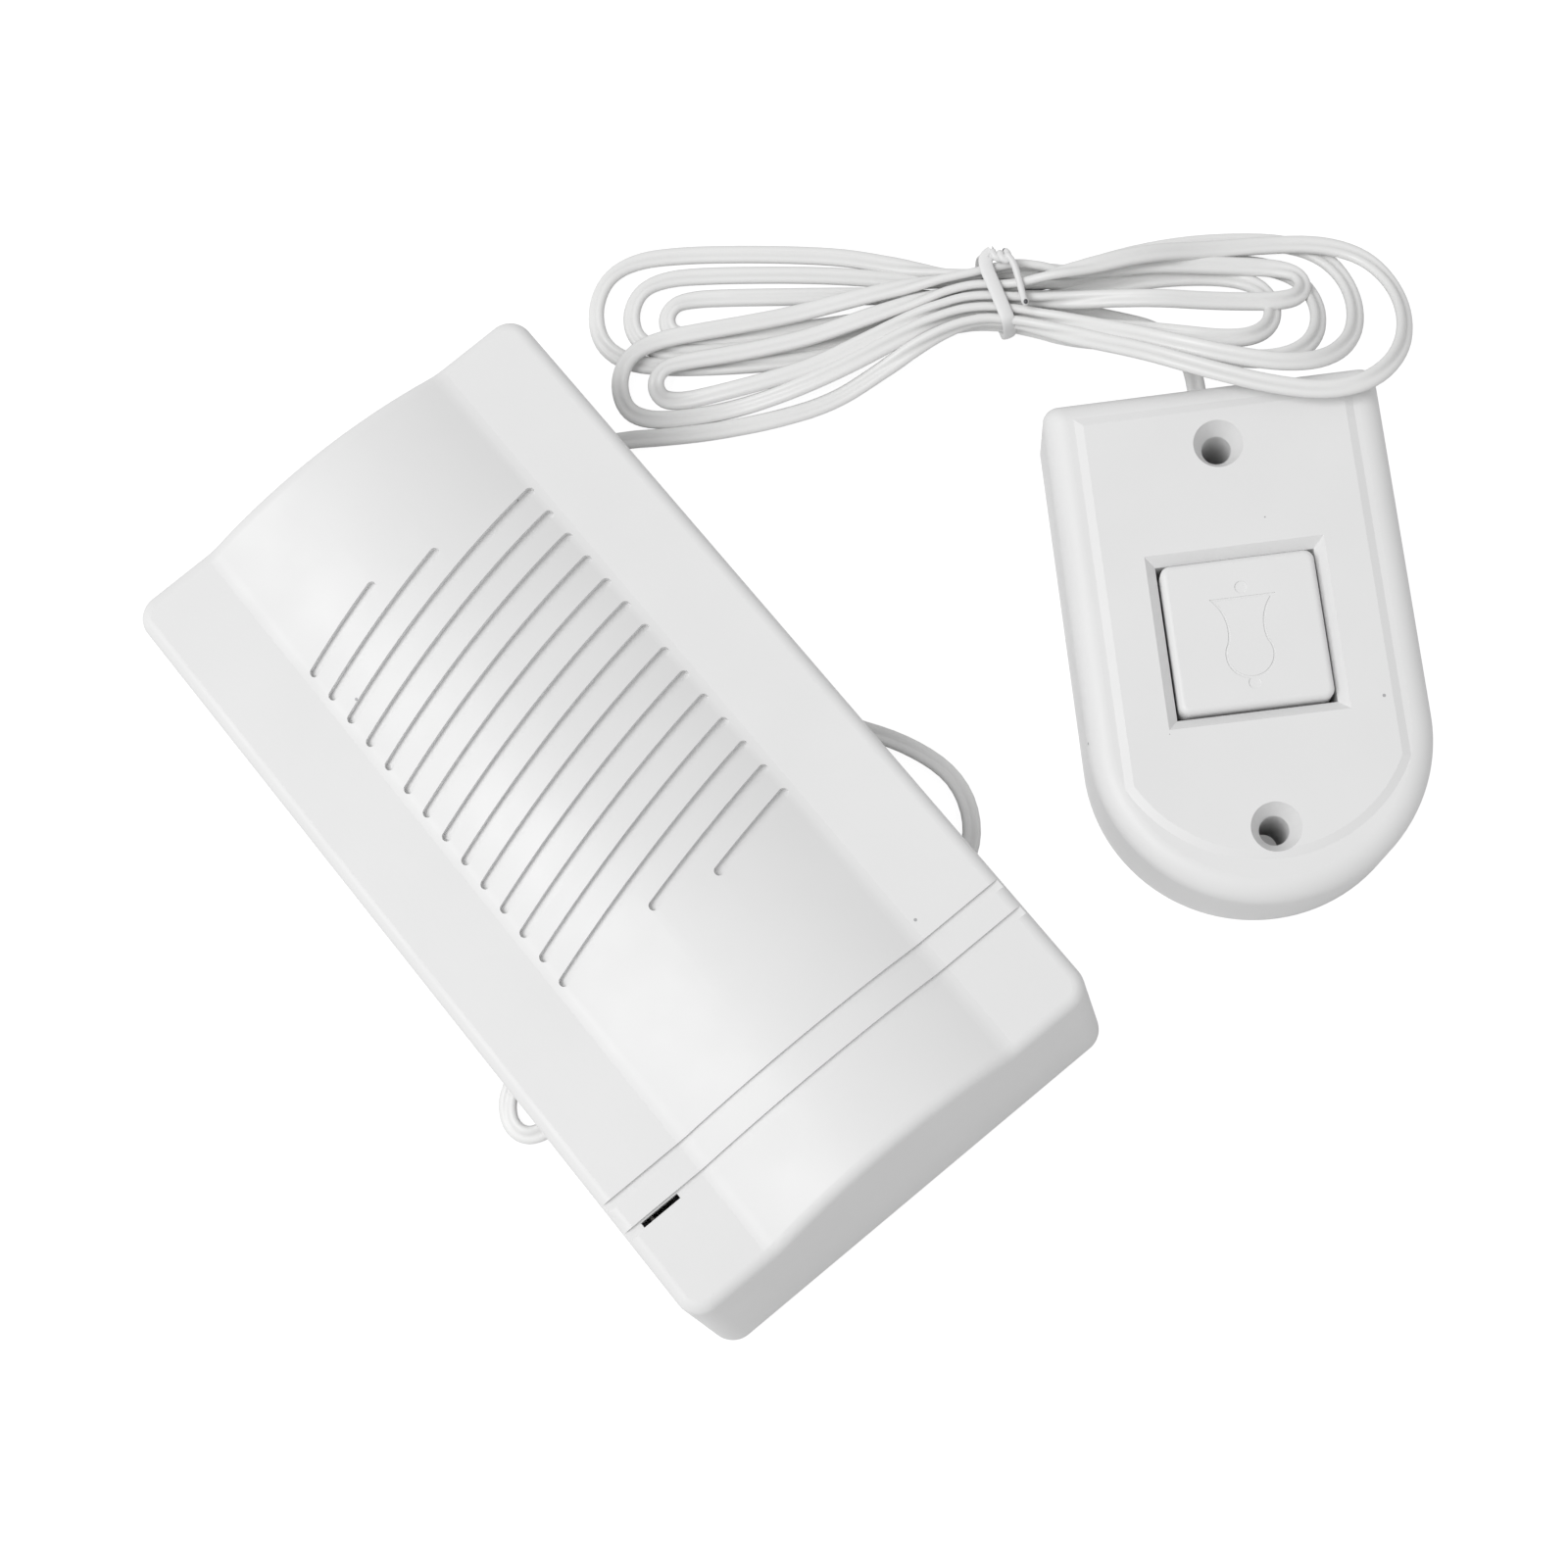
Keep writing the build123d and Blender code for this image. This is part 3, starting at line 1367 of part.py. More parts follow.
# Stretch from the hole in the back plate, round both sides of the chime and out to the hank
left_split = Vector(-40.0, -21.4, cord_z)
left_beyond = Vector(-45.2, -22.2, cord_z)
left_split_place = hank_plane.from_local_coords(left_split)
left_beyond_place = hank_plane.from_local_coords(left_beyond)
with BuildPart() as bell_wire_under_chime:
    under_route = [
        (cord_exit_x, wire_hole_y, cord_z),
        (-13.0, wire_hole_y + 0.1, cord_z),
        (-21.0, -17.0, cord_z),
        (-28.6, -14.9, cord_z),
        (-33.2, -15.9, cord_z),
        (-35.7, -19.3, cord_z),
        (-35.0, -22.4, cord_z),
        (-31.6, -23.3, cord_z),
        (-25.4, -23.2, cord_z),
        (-14.0, -25.6, cord_z),
        (2.0, -27.6, cord_z),
        (17.0, -31.4, cord_z),
        (28.4, -32.4, cord_z),
        (35.2, -29.4, cord_z),
        (38.5, -22.2, cord_z),
        (36.4, -14.0, cord_z),
        (31.2, -6.0, cord_z),
        (26.6, 4.0, cord_z),
        (22.2, 16.0, cord_z),
        (18.4, 27.0, cord_z),
        (18.0, 37.4, cord_z),
        (22.0, 44.8, cord_z),
        (28.6, 46.8, cord_z),
        (34.6, 43.4, cord_z),
        (left_beyond_place.X, left_beyond_place.Y, cord_z),
        (left_split_place.X, left_split_place.Y, cord_z),
    ]
    add(bent_wire(under_route, wire_diameter, "bell_wire_under_chime"))
bell_wire_under_chime.part.label = "bell_wire_under_chime"
export_step(bell_wire_under_chime.part, "parts/bell_wire_under_chime.step")

# Stretch from the push-button unit to the hank, under its lower runs
right_split = Vector(18.6, -2.2, cord_z)
right_beyond = Vector(21.6, -2.9, cord_z)
with BuildPart() as bell_wire_to_button:
    button_route = [on_unit(0, unit_flat_y - core_start_inset, notch_wire_z)]
    button_route.append(on_unit(0.1, unit_flat_y + 3.4, notch_wire_z - 0.2))
    for point in (Vector(27.2, -8.0, 1.5), Vector(24.8, -4.6, cord_z), right_beyond, right_split):
        place = hank_plane.from_local_coords(point)
        button_route.append((place.X, place.Y, place.Z))
    add(bent_wire(button_route, wire_diameter, "bell_wire_to_button"))
bell_wire_to_button.part.label = "bell_wire_to_button"
export_step(bell_wire_to_button.part, "parts/bell_wire_to_button.step")

# The hank: one wire that passes the waist eleven times
with BuildPart() as bell_wire_hank:
    first_column = lower_columns[0]
    lead_in = [
        right_split,
        Vector(12.6, -1.3, cord_z + waist_rise(12.6)),
        Vector(7.2, first_column, cord_z + waist_rise(7.2)),
    ]
    last_column = lower_columns[-1]
    lead_out = [
        Vector(-8.6, -10.2, hank_height(-8.6, -10.2, 1)),
        Vector(-14.6, -13.6, cord_z + 1.6),
        Vector(-21.0, -16.3, cord_z + 0.2),
        Vector(-29.0, -18.8, cord_z),
        Vector(-36.0, -20.6, cord_z),
        left_split,
    ]
    loop_points = []
    loop_ways = []
    for number in range(len(left_loops)):
        for side in (-1, 1):
            for share in (*loop_shares, 1):
                loop_points.append(loop_point(side, number, share))
                if share in (0, 1):
                    loop_ways.append(Vector(side * (1 - 2 * share), 0, 0))
                else:
                    ahead = loop_point(side, number, share + way_step)
                    behind = loop_point(side, number, share - way_step)
                    loop_ways.append((ahead - behind).normalized())
    waist_start = Vector(waist_half, first_column, hank_height(waist_half, first_column, 0))
    waist_end = Vector(-waist_half, last_column, hank_height(-waist_half, last_column, 1))
    hank_points = lead_in + [waist_start] + loop_points + [waist_end] + lead_out
    to_left = Vector(-1, 0, 0)
    lead_in_ways = [unit_way(hank_points, place) for place in range(len(lead_in))]
    lead_in_ways[0] = (right_split - right_beyond).normalized()
    first_out = len(hank_points) - len(lead_out)
    lead_out_ways = [unit_way(hank_points, place) for place in range(first_out, len(hank_points))]
    lead_out_ways[-1] = (left_beyond - left_split).normalized()
    hank_ways = lead_in_ways + [to_left] + loop_ways + [to_left] + lead_out_ways
    world_points = [hank_plane.from_local_coords(point) for point in hank_points]
    world_ways = [hank_plane.from_local_coords(way) - hank_plane.origin for way in hank_ways]
    with BuildLine() as hank_line:
        for place in range(len(world_points) - 1):
            biarc(
                world_points[place],
                world_ways[place],
                world_points[place + 1],
                world_ways[place + 1],
            )
    with BuildSketch(Plane(origin=hank_line.line @ 0, z_dir=hank_line.line % 0)):
        Circle(wire_diameter / 2)
    sweep(path=hank_line.line)
bell_wire_hank.part.label = "bell_wire_hank"
export_step(bell_wire_hank.part, "parts/bell_wire_hank.step")
hank_edges = hank_line.edges()
hank_length = sum(edge.length for edge in hank_edges)
hank_section = math.pi * wire_diameter**2 / 4
print("bell_wire_hank length", round(hank_length, 1))
print("bell_wire_hank length by volume", round(bell_wire_hank.part.volume / hank_section, 1))
samples = []
walked = 0.0
for edge in hank_edges:
    steps = max(1, round(edge.length / gap_sample))
    for step in range(steps):
        samples.append((walked + edge.length * step / steps, edge @ (step / steps)))
    walked += edge.length
close_pairs = [
    ((first - other).length - wire_diameter, tuple(hank_plane.to_local_coords(first)))
    for place, (start, first) in enumerate(samples)
    for end, other in samples[place + 1 :]
    if end - start > gap_neighbours
    and abs(first.X - other.X) < gap_reach
    and abs(first.Y - other.Y) < gap_reach
]
least_gap, gap_place = min(close_pairs)
print("bell_wire_hank least gap to itself", round(least_gap, 2))
print("in the hank's frame at", [round(value, 1) for value in gap_place])

# Twist tie round the waist, its tail lying over the wires
with BuildPart() as wire_tie:
    tie_low = waist_lift - tie_gap
    tie_high = wire_diameter + waist_lift + layer_step + tie_gap
    tie_left = lower_columns[-1] - wire_diameter / 2 - tie_gap
    tie_right = upper_columns[2] + wire_diameter / 2 + tie_gap
    tie_middle = ((tie_left + tie_right) / 2, (tie_low + tie_high) / 2)
    tie_plane = Plane(origin=hank_plane.origin, x_dir=hank_plane.y_dir, z_dir=hank_plane.x_dir)
    with BuildSketch(tie_plane):
        with Locations(tie_middle):
            RectangleRounded(
                tie_right - tie_left + 2 * tie_thickness,
                tie_high - tie_low + 2 * tie_thickness,
                tie_round + tie_thickness,
            )
            RectangleRounded(
                tie_right - tie_left, tie_high - tie_low, tie_round, mode=Mode.SUBTRACT
            )
    extrude(amount=tie_width / 2, both=True)
    tail_z = tie_high + tie_thickness + tie_tail_diameter / 2 - 0.1
    tail_route = []
    for u, v, lift in ((0.3, 6.2, -0.5), (0.8, 4.4, 0.4), (2.4, 2.2, 0.3), (3.7, -1.6, 0.1)):
        point = hank_plane.from_local_coords((u, v, tail_z + lift))
        tail_route.append((point.X, point.Y, point.Z))
    add(round_wire(tail_route, corner_radii(tail_route), tie_tail_diameter))
wire_tie.part.label = "wire_tie"
export_step(wire_tie.part, "parts/wire_tie.step")
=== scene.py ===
# Wired doorbell: finishes for the housings and their works, the flat twin bell wire and its twist tie.
# The frame gives every rigid piece; sizes here are in millimetres until they are placed.
import json
import math

import bpy
from mathutils import Matrix, Vector

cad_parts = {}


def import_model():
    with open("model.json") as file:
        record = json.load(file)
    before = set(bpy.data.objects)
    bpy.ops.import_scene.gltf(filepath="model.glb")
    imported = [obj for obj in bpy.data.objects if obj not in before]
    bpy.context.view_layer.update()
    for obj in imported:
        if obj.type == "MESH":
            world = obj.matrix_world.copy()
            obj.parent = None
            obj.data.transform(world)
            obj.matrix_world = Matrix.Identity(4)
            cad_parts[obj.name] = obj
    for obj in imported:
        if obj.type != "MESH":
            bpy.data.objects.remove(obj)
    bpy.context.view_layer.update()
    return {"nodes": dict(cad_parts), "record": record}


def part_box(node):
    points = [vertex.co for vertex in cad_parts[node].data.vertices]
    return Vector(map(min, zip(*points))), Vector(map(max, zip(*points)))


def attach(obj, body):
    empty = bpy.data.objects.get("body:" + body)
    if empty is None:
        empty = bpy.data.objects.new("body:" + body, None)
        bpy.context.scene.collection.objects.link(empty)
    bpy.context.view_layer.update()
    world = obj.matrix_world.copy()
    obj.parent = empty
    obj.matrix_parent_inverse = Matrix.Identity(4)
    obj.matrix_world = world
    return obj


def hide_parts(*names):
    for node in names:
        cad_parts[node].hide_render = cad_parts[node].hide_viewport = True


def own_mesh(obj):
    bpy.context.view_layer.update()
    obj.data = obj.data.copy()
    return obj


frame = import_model()

MM = 0.001

# Camera, fitted to the corners of both housings
camera_azimuth = -21.275
camera_elevation = 77.471
camera_roll = -18.459
camera_target = (20.354, -7.434, 0.0)
camera_distance = 340.684
focal_pixels = 2616.915
frame_pixels = 1600.0
sensor_width = 36.0

# Flat twin bell wire
lobe_radius = 0.625
web_half = 0.34
cord_resolution = 5
cord_z = 0.8
cord_exit = (-6.0, -18.5, cord_z)

# Push-button unit, where the wire ends
unit_x = 76.5
unit_y = -33.3
unit_turn = -33.1
unit_flat_y = 33.9
core_start_inset = 0.5
notch_wire_z = 3.1
unit_height = 15.5
screw_spread = 25.3

# Hank: its own frame has u along the loops, v across them and the tie in the middle
hank_x = 85.2
hank_y = 26.17
hank_turn = -43.85
waist_half = 2.5
tie_lift = 0.65
waist_fade = 8.0
layer_step = 3.1
settled_step = 1.75
settle_start = 15.0
settle_run = 14.0
lower_columns = (-1.1, -3.4, -5.7, -3.9, -1.3, -6.5)
upper_columns = (1.1, 3.4, 5.7, 3.9, 1.3)
first_layer_passes = 6
# Each loop: reach, height of its tip across the hank, width going out, width coming back, bow
left_loops = (
    (45.0, -5.0, 2.8, 2.8, 0.2),
    (50.0, -4.6, 4.9, 4.6, 0.2),
    (55.0, -4.2, 6.8, 6.2, 0.2),
    (50.5, -15.0, 4.8, 4.6, 0.5),
    (45.5, -15.0, 2.3, 2.4, 0.5),
)
right_loops = (
    (37.5, -0.5, 6.6, 7.2, 0.1),
    (43.5, -1.0, 8.8, 10.4, 0.1),
    (48.5, -1.5, 11.2, 14.4, 0.1),
    (41.5, 1.4, 2.4, 2.6, 0.1),
    (54.5, 0.0, 14.6, 18.6, 0.1),
)
points_per_loop = 20

# How fast a loop leaves the waist, where it changes layer and where the left ones lie on the floor
waist_draw = 0.05
climb_share = 0.22
drop_low_v = -17.5
drop_band = 3.0

# Slope on which the right loops climb onto the push-button unit
lean_start_u = 3.0
lean_run = 22.0
lean_high_v = 9.0
lean_band = 27.0
lean_clearance = 0.2

# Where the last right loop lies over the others
over_start_u = 3.0
over_rise = 4.0
over_end_u = 22.0
over_fall = 12.0

# How the flat wire turns over along the hank
edge_half = 3.0
edge_fade = 13.0
tip_roll = 28.0
tip_share = 0.84
stray_roll = 7.0
stray_by_loop = 2.3
stray_by_share = 9.0
floor_clearance = 0.02

# How the tie draws the wires together
columns_middle = -0.4
drawn_middle = -0.6
drawn_share = 0.62
drawn_half = 2.5
drawn_fade = 22.0

# The wire that arches up beside the knot: number of its loop, place, reach and rise
arch_loop = 3
arch_u = 4.0
arch_reach = 3.4
arch_rise = 2.0

# Twist tie
tie_half_width = 0.95
tie_half_thickness = 0.28
tie_strand_radius = 0.46
tie_core_radius = 0.28
knot_low = Vector((-0.5, 4.3, 6.7))
knot_high = Vector((1.6, 3.3, 8.0))
knot_arm = 0.42
knot_turns = 1.0
knot_steps = 7
core_inside = 0.4
core_outside = 0.5
tie_resolution = 8
band_across = Vector((0.9, 0.434, 0))

# Resistors: middle and half length of their bodies
resistor_x = -13.0
resistor_half = 3.05

# Dust specks: cells to the metre, half width as a share of a cell, share of cells with one, colour
speck_scale = 250
speck_share = 0.055
speck_amount = 0.1
speck_colour = (0.42, 0.42, 0.43)

# Ground: half its width and how far it lies under the object, in metres
ground_half = 3.0
ground_drop = 0.00005

# Ground: brightness to the camera, paleness to the light, and how much shadow the camera sees
ground_seen = 0.92
ground_albedo = 0.75
ground_shadow = 0.22

# Painted shadow: a dark patch of ground under each screw hole, standing in for the shade inside it:
# its brightness, and its radius in millimetres
painted_shadow_brightness = 0.2
painted_shadow_radius = 4.0

# Light: share of the white surroundings, and the lamp in metres and watts
world_light = 0.54
lamp_place = (-0.84, 0.45, 1.7)
lamp_target = (0.03, 0.0, 0.01)
lamp_size = 1.0
lamp_power = 20.5

upward = Vector((0, 0, 1))


def ease(x):
    """Smooth step from 0 to 1."""
    x = min(max(x, 0.0), 1.0)
    return x * x * (3 - 2 * x)


def turned(origin_x, origin_y, turn):
    """Matrix from a turned frame on the floor to the whole, both in millimetres."""
    return Matrix.Translation((origin_x, origin_y, 0)) @ Matrix.Rotation(math.radians(turn), 4, "Z")


hank_frame = turned(hank_x, hank_y, hank_turn)
unit_frame = turned(unit_x, unit_y, unit_turn)


# Where the flat wire lies in the hank
def edge_share(u):
    """How far the flat wire stands on its edge, 1 under the tie."""
    return 1 - ease((abs(u) - edge_half) / edge_fade)


def half_height(roll):
    """Half the height of the flat wire when it is rolled by an angle."""
    return lobe_radius * (1 + abs(math.sin(math.radians(roll))))


def waist_rise(u, lift):
    """How much the tie under the hank lifts the wires."""
    return lift * (1 - ease((abs(u) - waist_half) / waist_fade))


def drawn_in(u, v):
    """Place across the hank once the tie has drawn the wires together."""
    pull = 1 - ease((abs(u) - drawn_half) / drawn_fade)
    return v + (drawn_middle + drawn_share * (v - columns_middle) - v) * pull


def lean_height(u, v):
    """Height of the slope on which the right loops climb onto the push-button unit."""
    if u < 0:
        return 0.0
    top = unit_height + lean_clearance
    return top * ease((u - lean_start_u) / lean_run) * ease((lean_high_v - v) / lean_band)


def wire_height(u, v, layer, roll):
    """Height of the flat wire's centre in the hank."""
    settled = ease((abs(u) - settle_start) / settle_run)
    step = layer_step + (settled_step - layer_step) * settled
    if u < 0:
        step *= ease((v - drop_low_v) / drop_band)
    return waist_rise(u, tie_lift) + half_height(roll) + step * layer + lean_height(u, v)


def waist_pass(number):
    """Place across the waist and layer of a pass, counted from 0: even ones run to the left."""
    columns = lower_columns if number % 2 == 0 else upper_columns
    return columns[number // 2], 0 if number < first_layer_passes else 1


def loop_point(side, number, share):
    """Control point and roll of a loop at a share of its way, from one waist pass to the next."""
    reach, tip, width_out, width_back, bow = (left_loops if side < 0 else right_loops)[number]
    first_pass = 2 * number if side < 0 else 2 * number + 1
    column_in, layer_in = waist_pass(first_pass)
    column_out, layer_out = waist_pass(first_pass + 1)
    out = math.sin(math.pi * share) ** 2
    draw = 1 - math.exp(-out / waist_draw)
    axis_v = tip * ((1 + bow) * out - bow * out**2) * draw
    width = width_out if share < 0.5 else width_back
    upper = 1 if (share < 0.5) == (side > 0) else -1
    tip_round = math.sqrt(1 - math.exp(-2 * reach * (1 - out) / width))
    fan = upper * width * out * tip_round * draw
    change = share - math.sin(2 * math.pi * share) / (2 * math.pi)
    v = axis_v + column_in + (column_out - column_in) * change + fan
    u = side * (waist_half + (reach - waist_half) * out)
    layer = layer_in + (layer_out - layer_in) * ease((share - 0.5) / climb_share)
    if side > 0 and number == len(right_loops) - 1 and share < 0.5:
        layer += ease((u - over_start_u) / over_rise) * (1 - ease((u - over_end_u) / over_fall))
    drawn_v = drawn_in(u, v)
    if number == arch_loop and upper > 0:
        drawn_v += arch_rise * math.exp(-(((u - arch_u) / arch_reach) ** 2))
    stray = stray_roll * math.sin(stray_by_loop * number + stray_by_share * share + side)
    roll = 90 * edge_share(u) + tip_roll * ease((out - tip_share) / (1 - tip_share))
    roll += stray * (1 - edge_share(u))
    return (u, drawn_v, wire_height(u, v, layer, roll)), roll


def cord_route():
    """Control points of the whole bell wire and the roll of the flat wire at each."""
    route = [
        (cord_exit, 0),
        ((-13.0, -18.4, cord_z), 0),
        ((-21.0, -17.0, cord_z), 0),
        ((-28.6, -14.9, cord_z), 0),
        ((-33.2, -15.9, cord_z), 10),
        ((-35.7, -19.3, cord_z), 25),
        ((-35.0, -22.4, cord_z), 25),
        ((-31.6, -23.3, cord_z), 10),
        ((-25.4, -23.2, cord_z), 0),
        ((-14.0, -25.6, cord_z), 0),
        ((2.0, -27.6, cord_z), 0),
        ((17.0, -31.4, cord_z), 0),
        ((28.4, -32.4, cord_z), 0),
        ((35.2, -29.4, cord_z), 12),
        ((38.5, -22.2, cord_z), 25),
        ((36.4, -14.0, cord_z), 12),
        ((31.2, -6.0, cord_z), 0),
        ((26.6, 4.0, cord_z), 0),
        ((22.2, 16.0, cord_z), 0),
        ((18.4, 27.0, cord_z), 0),
        ((18.0, 37.4, cord_z), 10),
        ((22.0, 44.8, cord_z), 20),
        ((28.6, 46.8, cord_z), 20),
        ((34.6, 43.4, cord_z), 5),
    ]
    lead_in = [(-45.2, -22.2, 0), (-40.0, -21.4, 0), (-36.0, -20.6, 0), (-29.0, -18.8, 0)]
    lead_in += [(-21.0, -16.3, 0.2), (-14.6, -13.6, 1.6)]
    hank = []
    for u, v, rise in lead_in:
        roll = 90 * edge_share(u)
        hank.append(((u, drawn_in(u, v), rise + half_height(roll)), roll))
    for u, v in ((-8.6, -10.2), (-waist_half, lower_columns[-1])):
        roll = 90 * edge_share(u)
        hank.append(((u, drawn_in(u, v), wire_height(u, 0, 1, roll)), roll))
    # The points next to the waist are left out, which keeps the line smooth there
    steps = [0, *range(2, points_per_loop - 1), points_per_loop]
    for number in reversed(range(len(left_loops))):
        for side in (1, -1):
            for step in reversed(steps):
                hank.append(loop_point(side, number, step / points_per_loop))
    for u, v in ((waist_half, lower_columns[0]), (7.2, lower_columns[0]), (12.6, -1.3)):
        roll = 90 * edge_share(u)
        hank.append(((u, drawn_in(u, v), waist_rise(u, tie_lift) + half_height(roll)), roll))
    for u, v, z in (
        (18.6, -2.2, cord_z),
        (21.6, -2.9, cord_z),
        (24.8, -4.6, cord_z),
        (27.2, -8.0, 1.5),
    ):
        hank.append(((u, v, z), 0))
    route += [(tuple(hank_frame @ Vector(point)), roll) for point, roll in hank]
    inlet = [(0.1, unit_flat_y + 3.4, notch_wire_z - 0.2)]
    inlet += [(0, unit_flat_y - core_start_inset, notch_wire_z)]
    route += [(tuple(unit_frame @ Vector(point)), 0) for point in inlet]
    return route


def nurbs_line(name, points, resolution):
    """Points of the smooth line that has these control points, in metres."""
    curve = bpy.data.curves.new(name, "CURVE")
    curve.dimensions = "3D"
    curve.resolution_u = resolution
    spline = curve.splines.new("NURBS")
    spline.points.add(len(points) - 1)
    for target, point in zip(spline.points, points):
        target.co = (*(Vector(point) * MM), 1)
    spline.order_u = 3
    spline.use_endpoint_u = True
    holder = bpy.data.objects.new(name, curve)
    bpy.context.scene.collection.objects.link(holder)
    mesh = bpy.data.meshes.new_from_object(holder)
    line = [vertex.co.copy() for vertex in mesh.vertices]
    bpy.data.objects.remove(holder)
    bpy.data.meshes.remove(mesh)
    return line


def spread(values, count):
    """Values of the control points, read off at each of the line's points."""
    spans = len(values) - 2
    found = []
    for place in range(count):
        at = min(max(0.5 + spans * place / (count - 1), 0), len(values) - 1)
        low = min(int(at), len(values) - 2)
        found.append(values[low] + (values[low + 1] - values[low]) * (at - low))
    return found


def line_ways(line):
    """Direction of the line at each of its points."""
    ways = []
    for place in range(len(line)):
        ahead = line[min(place + 1, len(line) - 1)]
        behind = line[max(place - 1, 0)]
        ways.append((ahead - behind).normalized())
    return ways


def swept_mesh(name, line, sides, section):
    """Closed tube with a section of (across, up) points in millimetres, whose sides point across."""
    vertices = []
    faces = []
    count = len(section)
    for point, way, side in zip(line, line_ways(line), sides):
        across = (side - way * side.dot(way)).normalized()
        up = way.cross(across)
        for a, b in section:
            vertices.append(point + (across * a + up * b) * MM)
    for ring in range(len(line) - 1):
        for corner in range(count):
            after = (corner + 1) % count
            faces.append(
                (
                    ring * count + corner,
                    ring * count + after,
                    (ring + 1) * count + after,
                    (ring + 1) * count + corner,
                )
            )
    faces.append(tuple(reversed(range(count))))
    faces.append(tuple(range((len(line) - 1) * count, len(line) * count)))
    mesh = bpy.data.meshes.new(name)
    mesh.from_pydata(vertices, [], faces)
    mesh.polygons.foreach_set("use_smooth", [True] * len(faces))
    mesh.validate()
    obj = bpy.data.objects.new(name, mesh)
    bpy.context.scene.collection.objects.link(obj)
    return obj


def twin_section():
    """Outline of the flat twin wire: two round lobes with a groove between them."""
    section = []
    for side in (1, -1):
        for step in range(9):
            angle = math.radians(-120 + 30 * step)
            x = side * (lobe_radius + lobe_radius * math.cos(angle))
            section.append((x, side * lobe_radius * math.sin(angle)))
        section.append((0, side * web_half))
    return section


# Materials
def new_material(name):
    """Empty principled material: itself, its nodes, its links and its shader."""
    material = bpy.data.materials.new(name)
    material.use_nodes = True
    tree = material.node_tree
    return material, tree.nodes, tree.links, tree.nodes["Principled BSDF"]


def object_place(nodes):
    """Socket with the place on the object, in metres."""
    return nodes.new("ShaderNodeTexCoord").outputs["Object"]


def noise(nodes, links, scale, detail=3.0, roughness=0.5):
    """Noise value at a scale per metre."""
    node = nodes.new("ShaderNodeTexNoise")
    node.inputs["Scale"].default_value = scale
    node.inputs["Detail"].default_value = detail
    node.inputs["Roughness"].default_value = roughness
    links.new(object_place(nodes), node.inputs["Vector"])
    return node.outputs["Fac"]


def ramp(nodes, links, value, stops, interpolation="LINEAR"):
    """Colours over a value: stops are (place, colour)."""
    node = nodes.new("ShaderNodeValToRGB")
    node.color_ramp.interpolation = interpolation
    elements = node.color_ramp.elements
    while len(elements) < len(stops):
        elements.new(1.0)
    for element, (place, colour) in zip(elements, stops):
        element.position = place
        element.color = (*colour, 1)
    links.new(value, node.inputs["Fac"])
    return node.outputs["Color"]


def feed(links, socket, value):
    """Give a socket its value: a number, a colour as a tuple, or the socket that it comes from."""
    if isinstance(value, (int, float)):
        socket.default_value = value
    elif isinstance(value, tuple):
        socket.default_value = (*value, 1)
    else:
        links.new(value, socket)


def calculate(nodes, links, operation, first, second):
    """Result of an operation on two values."""
    node = nodes.new("ShaderNodeMath")
    node.operation = operation
    feed(links, node.inputs[0], first)
    feed(links, node.inputs[1], second)
    return node.outputs["Value"]


def mixed(nodes, links, factor, first, second, blend="MIX"):
    """Mix of two colours by a factor."""
    node = nodes.new("ShaderNodeMix")
    node.data_type = "RGBA"
    node.blend_type = blend
    feed(links, node.inputs["Factor"], factor)
    feed(links, node.inputs[6], first)
    feed(links, node.inputs[7], second)
    return node.outputs[2]


def bump(nodes, links, shader, height, depth):
    """Bump of a real depth in metres from a height of 0 to 1."""
    node = nodes.new("ShaderNodeBump")
    node.inputs["Strength"].default_value = 1.0
    node.inputs["Distance"].default_value = depth
    links.new(height, node.inputs["Height"])
    links.new(node.outputs["Normal"], shader.inputs["Normal"])


def shade(colour, factor):
    """A colour made darker or lighter by a factor."""
    return tuple(min(part * factor, 1.0) for part in colour)


def mottled(nodes, links, colour, amount, scale):
    """A colour that varies a little over the surface."""
    low = shade(colour, 1 - amount)
    high = shade(colour, 1 + amount)
    return ramp(nodes, links, noise(nodes, links, scale), [(0.3, low), (0.7, high)])


def varied_roughness(nodes, links, shader, low, high, scale):
    """Roughness between two values, cloudy at a scale."""
    value = ramp(
        nodes, links, noise(nodes, links, scale), [(0.3, (low,) * 3), (0.7, (high,) * 3)]
    )
    links.new(value, shader.inputs["Roughness"])


def dust(nodes, links, colour, amount):
    """Sparse dark specks, under half a millimetre wide, on a colour."""
    cells = nodes.new("ShaderNodeTexVoronoi")
    cells.inputs["Scale"].default_value = speck_scale
    links.new(object_place(nodes), cells.inputs["Vector"])
    near = calculate(nodes, links, "LESS_THAN", cells.outputs["Distance"], speck_share)
    parts = nodes.new("ShaderNodeSeparateColor")
    links.new(cells.outputs["Color"], parts.inputs["Color"])
    chosen = calculate(nodes, links, "LESS_THAN", parts.outputs["Red"], amount)
    speck = calculate(nodes, links, "MULTIPLY", near, chosen)
    return mixed(nodes, links, speck, colour, speck_colour)


def plastic(name, colour, roughness, grain=1400, depth=0.00001, dusty=0.0, mottle=0.012):
    """Moulded plastic: a little cloudy, finely grained, with a few specks of dust."""
    material, nodes, links, shader = new_material(name)
    skin = mottled(nodes, links, colour, mottle, 60)
    if dusty:
        skin = dust(nodes, links, skin, dusty)
    links.new(skin, shader.inputs["Base Color"])
    varied_roughness(nodes, links, shader, roughness - 0.05, roughness + 0.06, 110)
    bump(nodes, links, shader, noise(nodes, links, grain, 4.0, 0.6), depth)
    shader.inputs["Specular IOR Level"].default_value = 0.4
    return material


